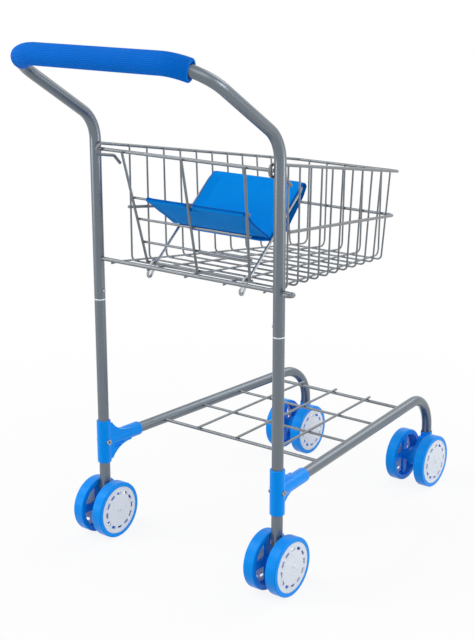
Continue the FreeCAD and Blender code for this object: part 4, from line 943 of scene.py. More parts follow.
@dataclass
class FoamGrip:
    """Ribbed foam sleeve over the push bar and into its two corners.

    Attributes:
        rib_count: ribs round the sleeve.
        rib_depth: crest to valley.
        edge_round: rounding of the sleeve's ends.
        bore_gap: foam to tube.
        mouth_flare: widening of the bore at its ends.
        end_degrees: tilt of the sleeve's cut ends, shorter on the outside of the corners.
        end_reach: how far from its ends the tilt fades out.
        steps_per_rib: points round one rib.
        rib_shape: power of the rib's section; below 1 its valleys are narrow.
        corner_steps: points along each corner.
        bar_steps: points along the straight bar.
        edge_steps: points round an end's rounding.
    """

    rib_count: int = 40
    rib_depth: float = 0.0006
    edge_round: float = 0.0018
    bore_gap: float = 0.0003
    mouth_flare: float = 0.0018
    end_degrees: float = 20.0
    end_reach: float = 0.016
    steps_per_rib: int = 6
    rib_shape: float = 0.8
    corner_steps: int = 20
    bar_steps: int = 30
    edge_steps: int = 7

    def centre_line(self) -> tuple[Array, Array, Array]:
        """The bar's axis from the left end of the sleeve to the right one.

        It is straight between two corner arcs. An arc's point is its centre plus the radius along
        the turned direction.

        Returns:
            Points and unit directions, each of shape (n, 3), and the normal of the bar's plane.
        """
        sizes = LAYOUT
        radius = sizes.handle_corner_radius
        reach = sizes.handle_reach - sizes.handle_bend_radius
        distance = math.hypot(reach, sizes.handle_rise)
        slope = math.atan2(sizes.handle_rise, reach)
        slope = slope - math.asin(sizes.handle_bend_radius / distance)
        bar_height = sizes.handle_bend_height + sizes.handle_rise
        bar = np.array([0.0, sizes.post_line - sizes.handle_reach, bar_height])
        arm = np.array([0.0, math.cos(slope), -math.sin(slope)])
        across = np.array([1.0, 0.0, 0.0])
        turn = np.linspace(0.0, math.radians(sizes.grip_corner_degrees), self.corner_steps)[:, None]
        centre = bar + across * (sizes.post_half_spacing - radius) + arm * radius
        right = centre + radius * (across * np.sin(turn) - arm * np.cos(turn))
        ahead = across * np.cos(turn) + arm * np.sin(turn)
        left = right[::-1] * [-1.0, 1.0, 1.0]
        back = ahead[::-1] * [1.0, -1.0, -1.0]
        middle = mix(left[-1], right[0], np.linspace(0.0, 1.0, self.bar_steps)[1:-1, None])
        points = np.concatenate([left, middle, right])
        directions = np.concatenate([back, np.tile(across, (len(middle), 1)), ahead])
        return points, directions, np.cross(across, arm)

    def outline(self, travelled: Array) -> Array:
        """Section along the sleeve: the outside, an end, the bore and the other end.

        Args:
            travelled: distances of the centre line's points.

        Returns:
            (distance, radius) pairs of shape (n, 2) that close on themselves.
        """
        outer = LAYOUT.grip_diameter / 2
        bore = LAYOUT.tube_diameter / 2 + self.bore_gap
        total, curve = travelled[-1], self.edge_round
        corner = np.linspace(0.0, math.pi / 2, self.edge_steps)
        edge = points_of(curve * (1.0 - np.cos(corner)), outer - curve * (1.0 - np.sin(corner)))
        flare = self.mouth_flare
        mouth = [[0.0, bore + flare * 1.2], [flare * 0.9, bore + flare], [flare * 3.0, bore]]
        mouth = np.array(mouth)
        inner = travelled[(travelled > curve * 2.0) & (travelled < total - curve * 2.0)]
        outside, inside = points_of(inner, outer), points_of(inner[::-1], bore)
        flip, shift = np.array([-1.0, 1.0]), np.array([total, 0.0])
        far_edge, far_mouth = edge[::-1] * flip + shift, mouth * flip + shift
        return np.concatenate([edge, outside, far_edge, far_mouth, inside, mouth[::-1]])

    def build(self) -> Piece:
        """Make the sleeve.

        Round the tube its radius falls from the crest by the rib depth times one less a power of
        the absolute cosine of half the rib angle, which leaves round ribs and narrow valleys. Near
        its ends each point moves along the sleeve by the tilt's tangent times its distance outward.

        Returns:
            The finished piece.
        """
        points, ahead, plane_normal = self.centre_line()
        side = np.cross(ahead, plane_normal)
        travelled = distances(points)
        outline = self.outline(travelled)
        distance, radius = outline[:, 0], outline[:, 1:2]
        angle = np.arange(self.rib_count * self.steps_per_rib)
        angle = angle * (2.0 * math.pi / len(angle))
        valley = 1.0 - np.abs(np.cos(angle * self.rib_count / 2.0)) ** self.rib_shape
        outer = LAYOUT.grip_diameter / 2
        on_skin = smooth_step(radius, outer - self.edge_round * 0.7, outer)
        radius = radius - self.rib_depth * on_skin * valley[None, :]
        tracks = (points, side, ahead)
        place, outward, heading = (read_at(distance, travelled, track) for track in tracks)
        ring = unit(outward)[:, None] * np.cos(angle)[None, :, None]
        ring = ring + plane_normal * np.sin(angle)[None, :, None]
        left = smooth_step(distance, self.end_reach, 0.0)
        right = smooth_step(distance, travelled[-1] - self.end_reach, travelled[-1])
        tilt = math.tan(math.radians(self.end_degrees)) * (left - right)[:, None] * np.cos(angle)
        skin = place[:, None] + ring * radius[..., None]
        skin = skin + unit(heading)[:, None] * (tilt * radius)[..., None]
        faces = grid_faces(*skin.shape[:2], wrap_rows=True, wrap_columns=True)
        made = painted_object("foam_grip", skin, faces, GRIP_FOAM)
        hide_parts("handle_grip")
        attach(made, "frame")
        return made


# ---------------------------------------------------------------- seat cover


ARC_STEP = 0.22  # radians


def rounded_line(corners: Array, radii: Sequence[float]) -> Array:
    """Line through corners in side view, each inner corner rounded by a radius.

    The arc touches both runs at the radius times the tangent of half the turn from the corner.

    Args:
        corners: array of shape (n, 2).
        radii: one radius for each inner corner.

    Returns:
        Array of shape (m, 2).
    """
    parts = [corners[:1]]
    for before, corner, after, radius in zip(corners, corners[1:], corners[2:], radii):
        arrive, leave = unit(corner - before), unit(after - corner)
        cross = arrive[0] * leave[1] - arrive[1] * leave[0]
        turn = math.atan2(cross, float(arrive @ leave))
        start = corner - arrive * radius * math.tan(abs(turn) / 2.0)
        inward = np.array([-arrive[1], arrive[0]]) * math.copysign(1.0, turn)
        steps = np.linspace(0.0, abs(turn), max(4, int(abs(turn) / ARC_STEP)))[:, None]
        arc = start + inward * radius * (1.0 - np.cos(steps))
        parts.append(arc + arrive * radius * np.sin(steps))
    parts.append(corners[-1:])
    return in_order(*parts)


@dataclass
class SeatCover:
    """Cloth of the doll seat, one piece from the gate over the seat's top bar and back.

    It is closed round the gate's first level wire, lies as a pan down to the arms, folds, runs up
    behind the arms, over the top bar, down again in front and is sewn to itself at the fold.

    Attributes:
        cloth: thickness.
        pan_half_width: pan, which lies askew.
        rear_half_width: layer behind the arms.
        front_half_width: layer in front of the arms.
        wrap_gap: cloth to the wire that it goes round.
        rear_lift: rear layer behind the arms' axes.
        front_top: front layer ahead of the arms' axes at the top bar.
        seam_lift: front layer ahead of the arms' axes at the seam.
        sag: how far the pan hangs.
        fold_lift: fold and seam above the foot of the CAD's back panel.
        hem: width of the side hems.
        hem_fade: how fast a hem's thickness falls off.
        hem_return: cloth turned back under the pan at the gate.
        notch: half width of the notch round the gate's middle wire.
        notch_end: from the end of the notch to the start of the pan.
        seam_pinch: front layer drawn to the rear one between the arms.
        pan_waist: how much narrower the pan's middle is than its ends, on each side.
        back_shift: rear layer's middle off the trolley's.
        bar_middle: from the bar's mark to the middle of the bend over it.
        bar_droop: top edge below the bar outside the arms.
        pinch_zone: from outside the arms to between them, where the pinch is full.
        droop_zone: from the arms outward to where the droop is full.
        arm_zone: towards the arms, where the cloth rests on them and can't settle.
        fold_radius: bend at the fold.
        seam_radius: bend where the front layer turns in to the seam.
        stitch_pitch: stitch to stitch.
        stitch_reach: half length of a stitch.
        stitch_girth: half width of a stitch.
        longest_move: how far the cloth may settle.
        hem_thickening: how much thicker the cloth is on its hems, as a share.
        wave_height: height of the slack cloth's folds.
        waves: share, turns across, turns per metre along and start of each slow wave.
        rows: points along the cloth.
        columns: points across it.
        marks: distances along the cloth of the places where it is held.
    """

    cloth: float = 0.0007
    pan_half_width: float = 0.0672
    rear_half_width: float = 0.063
    front_half_width: float = 0.0675
    wrap_gap: float = 0.0001
    rear_lift: float = 0.0024
    front_top: float = 0.0027
    seam_lift: float = 0.0022
    sag: float = 0.0014
    fold_lift: float = 0.0032
    hem: float = 0.006
    hem_fade: float = 0.0006
    hem_return: float = 0.011
    notch: float = 0.0036
    notch_end: float = 0.0024
    seam_pinch: float = 0.0018
    pan_waist: float = 0.0012
    back_shift: float = 0.001
    bar_middle: float = 0.002
    bar_droop: float = 0.0016
    pinch_zone: tuple[float, float] = (0.06, 0.045)
    droop_zone: tuple[float, float] = (0.053, 0.066)
    arm_zone: tuple[float, float] = (0.048, 0.057)
    fold_radius: float = 0.0022
    seam_radius: float = 0.012
    stitch_pitch: float = 0.0030
    stitch_reach: float = 0.0010
    stitch_girth: float = 0.00019
    longest_move: float = 0.0022
    hem_thickening: float = 0.85
    wave_height: float = 0.00055
    waves: tuple[tuple[float, float, float, float], ...] = (
        (0.55, 7.0, 62.0, 0.6), (0.35, -4.3, 105.0, 2.1), (0.22, 12.0, -38.0, 4.0),
    )
    rows: int = 190
    columns: int = 76
    marks: dict[str, float] = field(default_factory=dict)

    def gate_wire(self) -> Array:
        """Axis of the gate's first level wire, as (along, up)."""
        return LAYOUT.gate_place(LAYOUT.gate_lengths[0], LAYOUT.gate_offsets[1])

    def side_line(self) -> Array:
        """Middle of the cloth seen from the side, from its hem to the seam.

        Returns:
            (along, up) points at even distances. The distances of the gate wire, the fold, the top
            bar and the front foot are kept in marks.
        """
        wire = self.gate_wire()
        wrap = LAYOUT.gate_cross_diameter / 2 + self.wrap_gap + self.cloth / 2
        start, top = LAYOUT.back_panel_start + self.fold_lift, LAYOUT.arm_length
        fold = LAYOUT.arm_place(start, self.rear_lift)
        run = unit(wire - fold)
        over = np.array([-run[1], run[0]]) * (1.0 if run[0] > 0 else -1.0)
        angle = np.linspace(math.pi, 0.0, 18)[:, None]
        loop = wire + wrap * (over * np.cos(angle) + run * np.sin(angle))
        under = wire - over * (self.cloth * 1.9) - run * self.hem_return
        half_way = wire - over * (wrap * 0.96) - run * 0.003
        bar = LAYOUT.seat_wire_diameter / 2 + self.wrap_gap + self.cloth / 2
        foot = LAYOUT.back_panel_start + LAYOUT.back_panel_foot
        corners = np.array([
            loop[-1],
            fold,
            LAYOUT.arm_place(top + bar, self.rear_lift),
            LAYOUT.arm_place(top + bar, -self.front_top),
            LAYOUT.arm_place(foot, -LAYOUT.back_panel_depth),
            LAYOUT.arm_place(start, -self.seam_lift),
        ])
        radii = (self.fold_radius, bar * 0.98, bar * 0.98, self.seam_radius)
        line = in_order(under[None], half_way[None], loop, rounded_line(corners, radii))
        travelled = distances(line)
        places = {"wire": loop[len(loop) // 2], "pan": loop[-1], "fold": fold}
        places |= {"bar": corners[2], "foot": corners[4]}
        for name, point in places.items():
            self.marks[name] = float(travelled[np.linalg.norm(line - point, axis=1).argmin()])
        self.marks["end"] = float(travelled[-1])
        return evenly(line, self.rows)

    def folds(self, share: Array, distance: Array) -> Array:
        """Shallow folds of the slack cloth.

        Three slow waves in the width and the length are added up and held at zero where the cloth
        is fixed: at the gate wire, the fold, the top bar and the seam.

        Args:
            share: place across, from -1 to 1.
            distance: place along the cloth.

        Returns:
            Distance out of the cloth's plane.
        """
        marks = self.marks
        held = [marks[name] for name in ("pan", "fold", "bar", "end")]
        free = np.zeros_like(share + distance)
        for start, end in zip(held, held[1:]):
            free = free + np.sin(math.pi * ramp(distance, start, end)) ** 1.3
        waves = np.zeros_like(free)
        for part, across, along, start in self.waves:
            waves = waves + part * np.sin(across * share + along * distance + start)
        corners = np.abs(share) ** 3 * np.sin(150.0 * distance + 5.0 * np.sign(share))
        return free * (waves + 0.5 * corners) * self.wave_height

    def surface(self) -> tuple[Array, Array, Array]:
        """The cloth's middle surface.

        Returns:
            Points of shape (rows, columns, 3), UV in metres of shape (rows, columns, 2), and the
            distance to the nearer side edge of shape (rows, columns).
        """
        line = self.side_line()
        marks = self.marks
        distance = np.linspace(0.0, marks["end"], self.rows)[:, None]
        share = self.shares_across()[None, :]
        half, middle = self.breadth(distance)
        along = unit(np.gradient(line, axis=0))
        normal = np.stack([along[:, 1], -along[:, 0]], axis=1)
        hang = self.sag * np.sin(math.pi * self.down_pan(distance)) * (1.0 - 0.35 * share**2)
        across = share * half + middle
        seam = smooth_step(distance, marks["foot"], marks["end"])
        pinch = self.seam_pinch * seam * smooth_step(np.abs(across), *self.pinch_zone)
        out = self.folds(share, distance) + hang - pinch
        side_view = line[:, None] + normal[:, None] * out[..., None]
        droop = smooth_step(np.abs(across), *self.droop_zone) * self.bar_droop
        at_bar = np.exp(-(((distance - marks["bar"] - 0.003) / 0.006) ** 2))
        side_view[..., 1] -= droop * at_bar
        points = LAYOUT.in_row(across, side_view)
        uv = points_of(across, distance)
        return points, uv, half * (1.0 - np.abs(share))

    def shares_across(self) -> Array:
        """Places across, from -1 to 1, that stand closer towards the edges.

        Each is 0.65 of an even step's value plus 0.35 of a sine's.
        """
        crowded = np.sin(np.linspace(-math.pi / 2, math.pi / 2, self.columns))
        return crowded * 0.35 + np.linspace(-1.0, 1.0, self.columns) * 0.65

    def down_pan(self, distance: Array) -> Array:
        """Share of the way along the pan, 0 at the gate wire and 1 at the fold."""
        return ramp(distance, self.marks["pan"], self.marks["fold"])

    def breadth(self, distance: Array) -> tuple[Array, Array]:
        """Half width and middle of the cloth.

        The pan's middle goes from one shift to the other in proportion to the distance. Above the
        fold both go over to the rear layer's, and at the top bar to the front layer's, by smooth
        steps.

        Args:
            distance: place along the cloth.

        Returns:
            Two arrays of the same shape as distance.
        """
        marks = self.marks
        inside = self.down_pan(distance)
        middle = mix(LAYOUT.pan_hem_shift, -LAYOUT.pan_fold_shift, inside)
        waist = 1.0 - np.cos(inside * 2.0 * math.pi)
        half = self.pan_half_width - self.pan_waist / 2.0 * waist
        past_fold = smooth_step(distance, marks["fold"], marks["fold"] + 0.013)
        at_bar = smooth_step(distance, marks["bar"] - 0.004, marks["bar"] + 0.022)
        half = mix(mix(half, self.rear_half_width, past_fold), self.front_half_width, at_bar)
        return half, middle * (1.0 - past_fold) + self.back_shift * past_fold * (1.0 - at_bar)

    def build(self) -> list[Piece]:
        """Make the cover and its stitching.

        Returns:
            The cloth and its stitches.
        """
        middle, uv, to_edge = self.surface()
        distance, marks = uv[..., 1], self.marks
        settled = settle_cloth(middle, self.pinned_rows(), self.longest_move)
        past_pan = smooth_step(distance, marks["pan"], marks["fold"])
        on_arms = past_pan * smooth_step(np.abs(middle[..., 0]), *self.arm_zone)
        middle = middle + (settled - middle) * (1.0 - on_arms)[..., None]
        hem, inner = self.hem, self.hem - self.hem_fade
        sides = smooth_step(to_edge, hem, inner)
        last = smooth_step(distance, marks["end"] - hem, marks["end"] - inner)
        first = smooth_step(distance, hem + self.hem_fade, hem)
        doubled = np.maximum(np.maximum(sides, last), first)
        thickness = self.cloth * (1.0 + self.hem_thickening * doubled)
        before_pan = distance < marks["pan"] - self.notch_end
        gone = (np.abs(middle[..., 0]) < self.notch) & before_pan
        kept = ~(gone[:-1, :-1] | gone[1:, :-1] | gone[:-1, 1:] | gone[1:, 1:])
        points, faces = thick_sheet(middle, thickness, kept)
        used, faces = np.unique(faces, return_inverse=True)
        corners, faces = points.reshape(-1, 3)[used], faces.reshape(-1, 4)
        cover = painted_object("seat_cover", corners, faces, SEAT_NYLON)
        give_uv(cover, np.concatenate([uv.reshape(-1, 2)] * 2)[used])
        # painted shade for the folded edges, the top bar and the gate wire, stored on each vertex
        # for the material
        painted_shade = self.painted_edge_shade(distance, to_edge)
        give_values(cover, PAINTED_EDGE_SHADE, np.concatenate([painted_shade.reshape(-1)] * 2)[used])
        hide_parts("seat_sling", "seat_back_panel")
        stitches = self.stitches(middle, thickness, to_edge)
        start = tuple(LAYOUT.in_row(0.0, self.gate_wire()))
        end = tuple(LAYOUT.in_row(0.0, LAYOUT.arm_place(LAYOUT.back_panel_start, self.rear_lift)))
        for piece in (cover, stitches):
            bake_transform(piece)
        return [cover, stitches]

    def painted_edge_shade(self, distance: Array, to_edge: Array) -> Array:
        """Share of painted shade on the cloth: 1 on the side edges, over the top bar and round the
        gate wire.
        """
        side = smooth_step(to_edge, 0.0022, 0.0009)
        over_bar = np.abs(distance - self.marks["bar"] - self.bar_middle)
        bar = smooth_step(over_bar, 0.0028, 0.0012)
        wire = smooth_step(np.abs(distance - self.marks["wire"]), 0.002, 0.0008)
        return np.maximum(np.maximum(side, bar), wire)

    def pinned_rows(self) -> Array:
        """Weight of the pins on each row: 1 where the cloth is held by wire or seam."""
        distance = np.linspace(0.0, self.marks["end"], self.rows)
        held = smooth_step(distance, self.marks["pan"] + 0.004, self.marks["pan"])
        for name, shift in (("fold", 0.0), ("bar", self.bar_middle)):
            gap = np.abs(distance - self.marks[name] - shift)
            held = np.maximum(held, smooth_step(gap, 0.008, 0.004))
        end = self.marks["end"]
        return np.maximum(held, smooth_step(distance, end - 0.007, end - 0.004))

    def stitches(self, middle: Array, thickness: Array, to_edge: Array) -> Piece:
        """Lines of thread along the hems.

        Each stitch is a bead on the cloth's face, placed by straight interpolation on the grid of
        the middle surface plus half the thickness along its normal.

        Args:
            middle: the cloth's middle surface.
            thickness: its thickness.
            to_edge: distance to the nearer side edge.

        Returns:
            The stitches as one piece.
        """
        pitch, girth = self.stitch_pitch, self.stitch_girth
        normal = unit(np.cross(np.gradient(middle, axis=0), np.gradient(middle, axis=1)))
        marks = self.marks
        lengthwise = np.arange(marks["pan"] + 0.004, marks["end"] - 0.003, pitch)
        places, ways = [], []
        rows = np.linspace(0.0, marks["end"], self.rows)
        half = self.columns // 2
        for order in (slice(None), slice(None, None, -1)):
            edges = to_edge[:, order]
            column = [np.interp(self.hem * 0.8, row[:half], np.arange(half)) for row in edges]
            column = np.array(column)
            line = self.on_row(middle[:, order], column)
            out = self.on_row(normal[:, order], column)
            lift = self.on_row(thickness[:, order, None], column) / 2.0
            for face in (-1.0, 1.0):
                run = line + out * (lift + girth * 0.25) * face
                places.append(read_at(lengthwise, rows, run))
                ways.append(read_at(lengthwise, rows, np.gradient(run, axis=0)))
        for distance in (0.0048, marks["pan"] + 0.0085, marks["end"] - 0.0042):
            row = int(np.abs(rows - distance).argmin())
            across = np.arange(-1.0, 1.0, pitch / self.rear_half_width)[1:-1]
            lift = thickness[row, :, None] / 2.0 + girth * 0.25
            notch = self.notch + 0.001 if distance < marks["pan"] else 0.0
            for face in (-1.0, 1.0):
                run = middle[row] + normal[row] * lift * face
                spots = read_at(across, self.shares_across(), run)
                clear = np.abs(spots[:, 0]) > notch
                places.append(spots[clear])
                ways.append(np.tile([1.0, 0.0, 0.0], (int(clear.sum()), 1)))
        places, ways = np.concatenate(places), unit(np.concatenate(ways))
        one_each = np.ones(len(places))
        points, faces = beads(places, ways, one_each * self.stitch_reach, one_each * girth)
        made = painted_object("seat_stitches", points, faces, SEAT_THREAD)
        return made

    def on_row(self, grid: Array, column: Array) -> Array:
        """Values of a grid at one fractional column in each row."""
        low = np.floor(column).astype(int)
        share = (column - low)[:, None]
        row = np.arange(len(column))
        return mix(grid[row, low], grid[row, low + 1], share)


SETTLING_STEPS = 20
SETTLING_SHARES = (0.2, 1.0, 1.0)
SETTLING_SETTINGS = {
    "quality": 6,
    "mass": 0.12,
    "tension_stiffness": 25.0,
    "compression_stiffness": 25.0,
    "bending_stiffness": 0.6,
    "shrink_min": -0.008,
    "air_damping": 4.0,
}


def settle_cloth(middle: Array, pinned: Array, cap: float) -> Array:
    """Let a sheet buckle and hang a little between its pins.

    A cloth simulation runs for a few steps on the middle surface, with threads slightly longer
    than the space they have. A point then moves by what the simulation gives, at most cap, but
    sideways by a fifth of it, as the hems keep the cloth's width.

    Args:
        middle: array of shape (rows, columns, 3).
        pinned: pin weight of each row.
        cap: longest move.

    Returns:
        The settled surface, same shape.
    """
    rows, columns = middle.shape[:2]
    made = mesh_object("settling_cloth", middle, grid_faces(rows, columns))
    group = made.vertex_groups.new(name="pins")
    weights = np.repeat(pinned, columns)
    for level in np.unique(np.round(weights, 2)):
        if level > 0.0:
            members = np.flatnonzero(np.abs(weights - level) <= 0.005)
            group.add(members.tolist(), float(level), "REPLACE")
    cloth = made.modifiers.new("settling", "CLOTH")
    cloth.settings.vertex_group_mass = group.name
    for name, value in SETTLING_SETTINGS.items():
        setattr(cloth.settings, name, value)
    cloth.collision_settings.use_collision = False
    cloth.point_cache.frame_start = 1
    cloth.point_cache.frame_end = SETTLING_STEPS
    scene = bpy.context.scene
    for frame in range(1, SETTLING_STEPS + 1):
        scene.frame_set(frame)
    shape = made.evaluated_get(bpy.context.evaluated_depsgraph_get()).to_mesh()
    points = np.empty(rows * columns * 3, dtype=np.float32)
    shape.vertices.foreach_get("co", points)
    move = (points.reshape(middle.shape).astype(float) - middle) * SETTLING_SHARES
    scene.frame_set(1)
    mesh = made.data
    bpy.data.objects.remove(made)
    bpy.data.meshes.remove(mesh)
    length = np.linalg.norm(move, axis=-1, keepdims=True)
    LOG.info("cloth settled by up to %.1f mm", float(length.max()) * 1000.0)
    return middle + move * (cap / np.maximum(length, cap))


# ---------------------------------------------------------------- weld beads


@dataclass
class WeldBeads:
    """Small beads of melted metal where two wires meet.

    Attributes:
        reach: half length of a bead.
        girth: half width of a bead.
        unevenness: how much the beads differ, as a share.
        beat: turn of the difference from one bead to the next, in radians.
    """

    reach: float = 0.0014
    girth: float = 0.0008
    unevenness: float = 0.14
    beat: float = 2.3

    def basket_places(self) -> Array:
        """Contacts of the basket's wires with its rims and with each other."""
        sizes = LAYOUT
        last = sizes.rim_front_reach - sizes.cross_wire_end
        rows = np.linspace(sizes.cross_wire_start, last, sizes.cross_wire_count)
        ahead = rows / sizes.rim_front_reach
        share = mix(sizes.middle_share, sizes.middle_front_share, ahead)
        rim = sizes.rim_x(rows)
        top = points_of(rim - sizes.rim_diameter / 2, rows, sizes.rim_z(rows))
        side = mix(rim - sizes.rim_offset, sizes.floor_x(rows), share)
        height = mix(sizes.rim_z(rows), sizes.floor_z(rows), share)
        middle = points_of(side + sizes.basket_wire_diameter / 2, rows, height)
        sides = np.concatenate([top, middle])
        sides = np.concatenate([sides, sides * [-1.0, 1.0, 1.0]])
        spread = np.linspace(-1.0, 1.0, sizes.long_wire_count)
        reach = rows[:, None] / sizes.front_line(1.0)
        across = spread * mix(sizes.long_rear_spread, sizes.long_front_spread, reach)
        level = sizes.floor_z(rows) + sizes.basket_wire_diameter / 2
        floor = points_of(across, rows[:, None], level[:, None])
        front = [self.front_row(spread, 0.0), self.front_row(spread, sizes.middle_front_share)]
        return np.concatenate([sides, floor.reshape(-1, 3), *front])

    def front_row(self, spread: Array, share: float) -> Array:
        """Contacts of the front wires with a rim, which is at a share of the way to the floor."""
        sizes = LAYOUT
        along = sizes.front_line(share) + sizes.basket_wire_diameter / 2
        up = mix(sizes.rim_z(along), sizes.floor_z(along), share)
        across = sizes.long_front_spread * spread
        return points_of(across, along, up)

    def shelf_places(self) -> Array:
        """Contacts of the shelf's long wires with its cross wires."""
        sizes = LAYOUT
        rows = sizes.shelf_start + sizes.shelf_pitch * np.arange(sizes.shelf_rows)
        start, end = rows[0] - sizes.shelf_stub, rows[-1] + sizes.shelf_stub
        reach = ((rows - start) / (end - start))[:, None]
        spread = mix(sizes.shelf_rear_spread, sizes.shelf_front_spread, reach)
        across = np.array([-1.0, 0.0, 1.0]) * spread
        deck = sizes.rail_height + sizes.shelf_wire_diameter / 2
        return points_of(across, rows[:, None], deck).reshape(-1, 3)

    def gate_places(self) -> Array:
        """Contacts of the gate's slanting wires with its hinge wire and its level wires."""
        sizes = LAYOUT
        lengths = np.array([0.0] + sizes.gate_lengths[:3])
        upright = sizes.gate_offsets[0] - sizes.gate_upright_diameter / 2
        view = sizes.gate_place(lengths, upright)
        reach = (lengths / sizes.gate_lengths[-1])[:, None]
        half = mix(sizes.gate_top_spread, sizes.gate_foot_spread, reach)
        across = np.array([-1.0, 0.0, 1.0]) * half
        return points_of(across, view[:, None, 0], view[:, None, 1]).reshape(-1, 3)

    def place_set(self, name: str, places: Array, way: Triple, body: str) -> Piece:
        """Make one set of beads.

        Args:
            name: piece name.
            places: centres from the posts' foot.
            way: the beads' long way.
            body: the body that they move with.

        Returns:
            The finished piece.
        """
        centres = places + [0.0, LAYOUT.post_line, 0.0]
        uneven = 1.0 + self.unevenness * np.sin(np.arange(len(places)) * self.beat)
        ways = np.tile(unit(np.array(way)), (len(places), 1))
        points, faces = beads(centres, ways, self.reach * uneven, self.girth * (2.0 - uneven))
        made = painted_object(name, points, faces, PAINTED_WIRE)
        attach(made, body)
        return made

    def build(self) -> list[Piece]:
        """Make the beads of basket, shelf and gate."""
        return [
            self.place_set("basket_weld_beads", self.basket_places(), (0.0, 1.0, -0.1), "frame"),
            self.place_set("shelf_weld_beads", self.shelf_places(), (0.0, 1.0, 0.0), "frame"),
            self.place_set("gate_weld_beads", self.gate_places(), (1.0, 0.0, 0.0), "gate"),
        ]


# ---------------------------------------------------------------- joints of the posts


@dataclass
class JointRings:
    """Near-white ring round each post, where the handle frame meets the leg: the joint's rounded
    edge, with a painted highlight as its colour.

    Attributes:
        proud: ring above the tube's surface.
        half_height: half height of the ring.
        sides: points round the post.
        section_sides: points round the ring's section.
    """

    proud: float = 0.00014
    half_height: float = 0.0007
    sides: int = 64
    section_sides: int = 12

    def build(self) -> Piece:
        """Make both rings: a thin oval section swept round each post's axis.

        Returns:
            The finished piece.
        """
        turn = np.linspace(0.0, 2.0 * math.pi, self.sides, endpoint=False)[:, None]
        section = np.linspace(0.0, 2.0 * math.pi, self.section_sides, endpoint=False)[None, :]
        radius = LAYOUT.tube_diameter / 2 + self.proud * np.cos(section)
        height = LAYOUT.leg_joint_height + self.half_height * np.sin(section)
        ring = points_of(radius * np.cos(turn), radius * np.sin(turn), height)
        half = LAYOUT.post_half_spacing
        posts = np.array([[-half, LAYOUT.post_line, 0.0], [half, LAYOUT.post_line, 0.0]])
        faces = grid_faces(*ring.shape[:2], wrap_rows=True, wrap_columns=True)
        faces = np.concatenate([faces, faces + self.sides * self.section_sides])
        # the near-white finish paints the joint's highlight into the ring's colour
        made = painted_object("joint_rings", ring + posts[:, None, None], faces, JOINT_HIGHLIGHT)
        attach(made, "frame")
        return made


# ---------------------------------------------------------------- nodes from the CAD


def dress_nodes(frame: dict[str, Any]) -> None:
    """Paint each node that stays in sight with the finish of its material slot."""
    for row in frame["record"]["subparts"]:
        finish = NODE_FINISHES[row["material_slot"]]
        paint(frame["nodes"][row["node"]], finish)
        LOG.info("%s: %s", row["node"], finish.name)


# ---------------------------------------------------------------- studio


LAMPS: dict[str, tuple[Triple, float, float]] = {
    "key": ((-1.5, -1.3, 2.2), 1.4, 26.0),
    "fill": ((1.9, -0.9, 1.3), 1.5, 10.0),
    "back": ((0.5, 1.9, 1.8), 1.4, 12.0),
    "right edge": ((1.9, 0.75, 0.4), 0.9, 11.0),
    "left edge": ((-1.35, -1.7, 0.4), 0.9, 9.0),
}


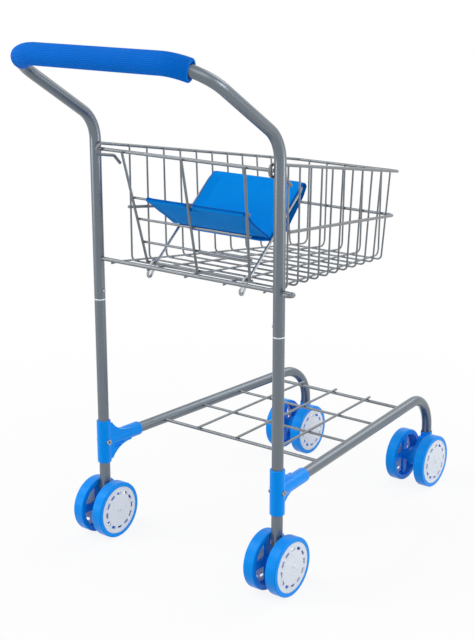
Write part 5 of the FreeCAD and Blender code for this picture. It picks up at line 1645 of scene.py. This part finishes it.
@dataclass
class Studio:
    """Pale floor, soft lamps and the camera.

    Attributes:
        floor_reach: half side of the floor.
        floor_level: height of the floor, just below the wheels.
        floor_tone: floor colour as it shows on a screen.
        bounce_tone: floor colour for the light that it throws back on the trolley.
        fade: distances from the middle where plain white starts to take over and where it has.
        fade_start: share of plain white within the first distance.
        even_light: strength of the world's light on the trolley.
        lamp_aim: where the lamps point.
        camera_place: camera position.
        camera_way: camera direction.
        lens: focal length in millimetres for a 36 mm sensor.
    """

    floor_reach: float = 6.0
    floor_level: float = -0.0004
    floor_tone: Colour = (252, 252, 253)
    bounce_tone: Colour = (206, 206, 207)
    fade: tuple[float, float] = (0.2, 0.9)
    fade_start: float = 0.88
    even_light: float = 0.42
    lamp_aim: Triple = (0.0, 0.0, 0.28)
    camera_place: Triple = (0.8825, -1.2073, 0.6928)
    camera_way: Triple = (-0.5757, 0.7682, -0.2802)
    lens: float = 75.14

    def floor(self) -> Piece:
        """Make the floor: a flat grid whose far part shows plain white to the camera."""
        span = np.linspace(-self.floor_reach, self.floor_reach, 13)
        across, along = np.meshgrid(span, span, indexing="ij")
        points = points_of(across, along, self.floor_level)
        made = mesh_object("studio_floor", points, grid_faces(13, 13)[:, ::-1], smooth=False)
        made.data.materials.append(self.floor_material())
        return made

    def floor_material(self) -> bpy.types.Material:
        """Matt pale floor that fades to white for camera and mirror rays away from the trolley."""
        material = bpy.data.materials.new("studio_floor")
        nodes = new_nodes(material)
        seen = self.seen(nodes)
        tone = nodes.blend_colours(seen, linear(*self.bounce_tone), linear(*self.floor_tone))
        sockets = {"Base Color": tone, "Roughness": 0.9, "Specular IOR Level": 0.1}
        shader = nodes.add("BsdfPrincipled", sockets).outputs["BSDF"]
        white = nodes.add("Emission", {"Color": WHITE, "Strength": 1.0}).outputs[0]
        place = nodes.add("TexCoord").outputs["Object"]
        away = nodes.add("VectorMath", {"0": place}, operation="LENGTH").outputs["Value"]
        share = nodes.times(nodes.between(away, *self.fade, self.fade_start, 1.0), seen)
        mixed = nodes.add("MixShader", {"0": share, "1": shader, "2": white}).outputs[0]
        nodes.add("OutputMaterial", {"Surface": mixed})
        return material

    def seen(self, nodes: Nodes) -> Any:
        """1 for rays from the camera, off mirrors and through glass, 0 for the rest."""
        rays = nodes.add("LightPath").outputs
        total = nodes.plus(rays["Is Camera Ray"], rays["Is Glossy Ray"])
        return nodes.plus(total, rays["Is Transmission Ray"], clamp=True)

    def world(self) -> None:
        """White where it is seen, soft even light elsewhere."""
        world = bpy.data.worlds.new("studio")
        bpy.context.scene.world = world
        nodes = new_nodes(world)
        strength = nodes.between(self.seen(nodes), 0.0, 1.0, self.even_light, 1.0)
        white = nodes.add("Background", {"Color": WHITE, "Strength": strength})
        nodes.add("OutputWorld", {"Surface": white.outputs[0]})

    def lamp(self, name: str, place: Triple, side: float, power: float) -> None:
        """Square area lamp aimed at the middle of the trolley."""
        data = bpy.data.lights.new(name, "AREA")
        data.shape = "SQUARE"
        data.size = side
        data.energy = power
        made = bpy.data.objects.new(name, data)
        made.location = place
        aim = Vector(self.lamp_aim) - Vector(place)
        made.rotation_euler = aim.to_track_quat("-Z", "Y").to_euler()
        bpy.context.scene.collection.objects.link(made)

    def camera(self) -> None:
        """Camera from behind and to the right of the trolley."""
        data = bpy.data.cameras.new("camera")
        data.lens = self.lens
        data.sensor_width = 36.0
        data.sensor_fit = "AUTO"
        data.clip_end = 50.0
        made = bpy.data.objects.new("camera", data)
        made.location = self.camera_place
        made.rotation_euler = Vector(self.camera_way).to_track_quat("-Z", "Y").to_euler()
        bpy.context.scene.collection.objects.link(made)
        bpy.context.scene.camera = made

    def build(self) -> None:
        """Set up floor, world, lamps, camera and view transform."""
        self.camera()
        self.floor()
        self.world()
        for name, (place, side, power) in LAMPS.items():
            self.lamp(name, place, side, power)
        bpy.context.scene.view_settings.view_transform = "Standard"


# ---------------------------------------------------------------- whole scene


def main() -> None:
    """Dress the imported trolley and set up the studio."""
    logging.basicConfig(level=logging.INFO, format="%(name)s: %(message)s")
    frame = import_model()
    Studio().build()
    dress_nodes(frame)
    pieces = [FoamGrip().build(), *SeatCover().build(), *WeldBeads().build(), JointRings().build()]
    for piece in pieces:
        LOG.info("%s: %d faces", piece.name, len(piece.data.polygons))


if __name__ == "__main__":
    main()
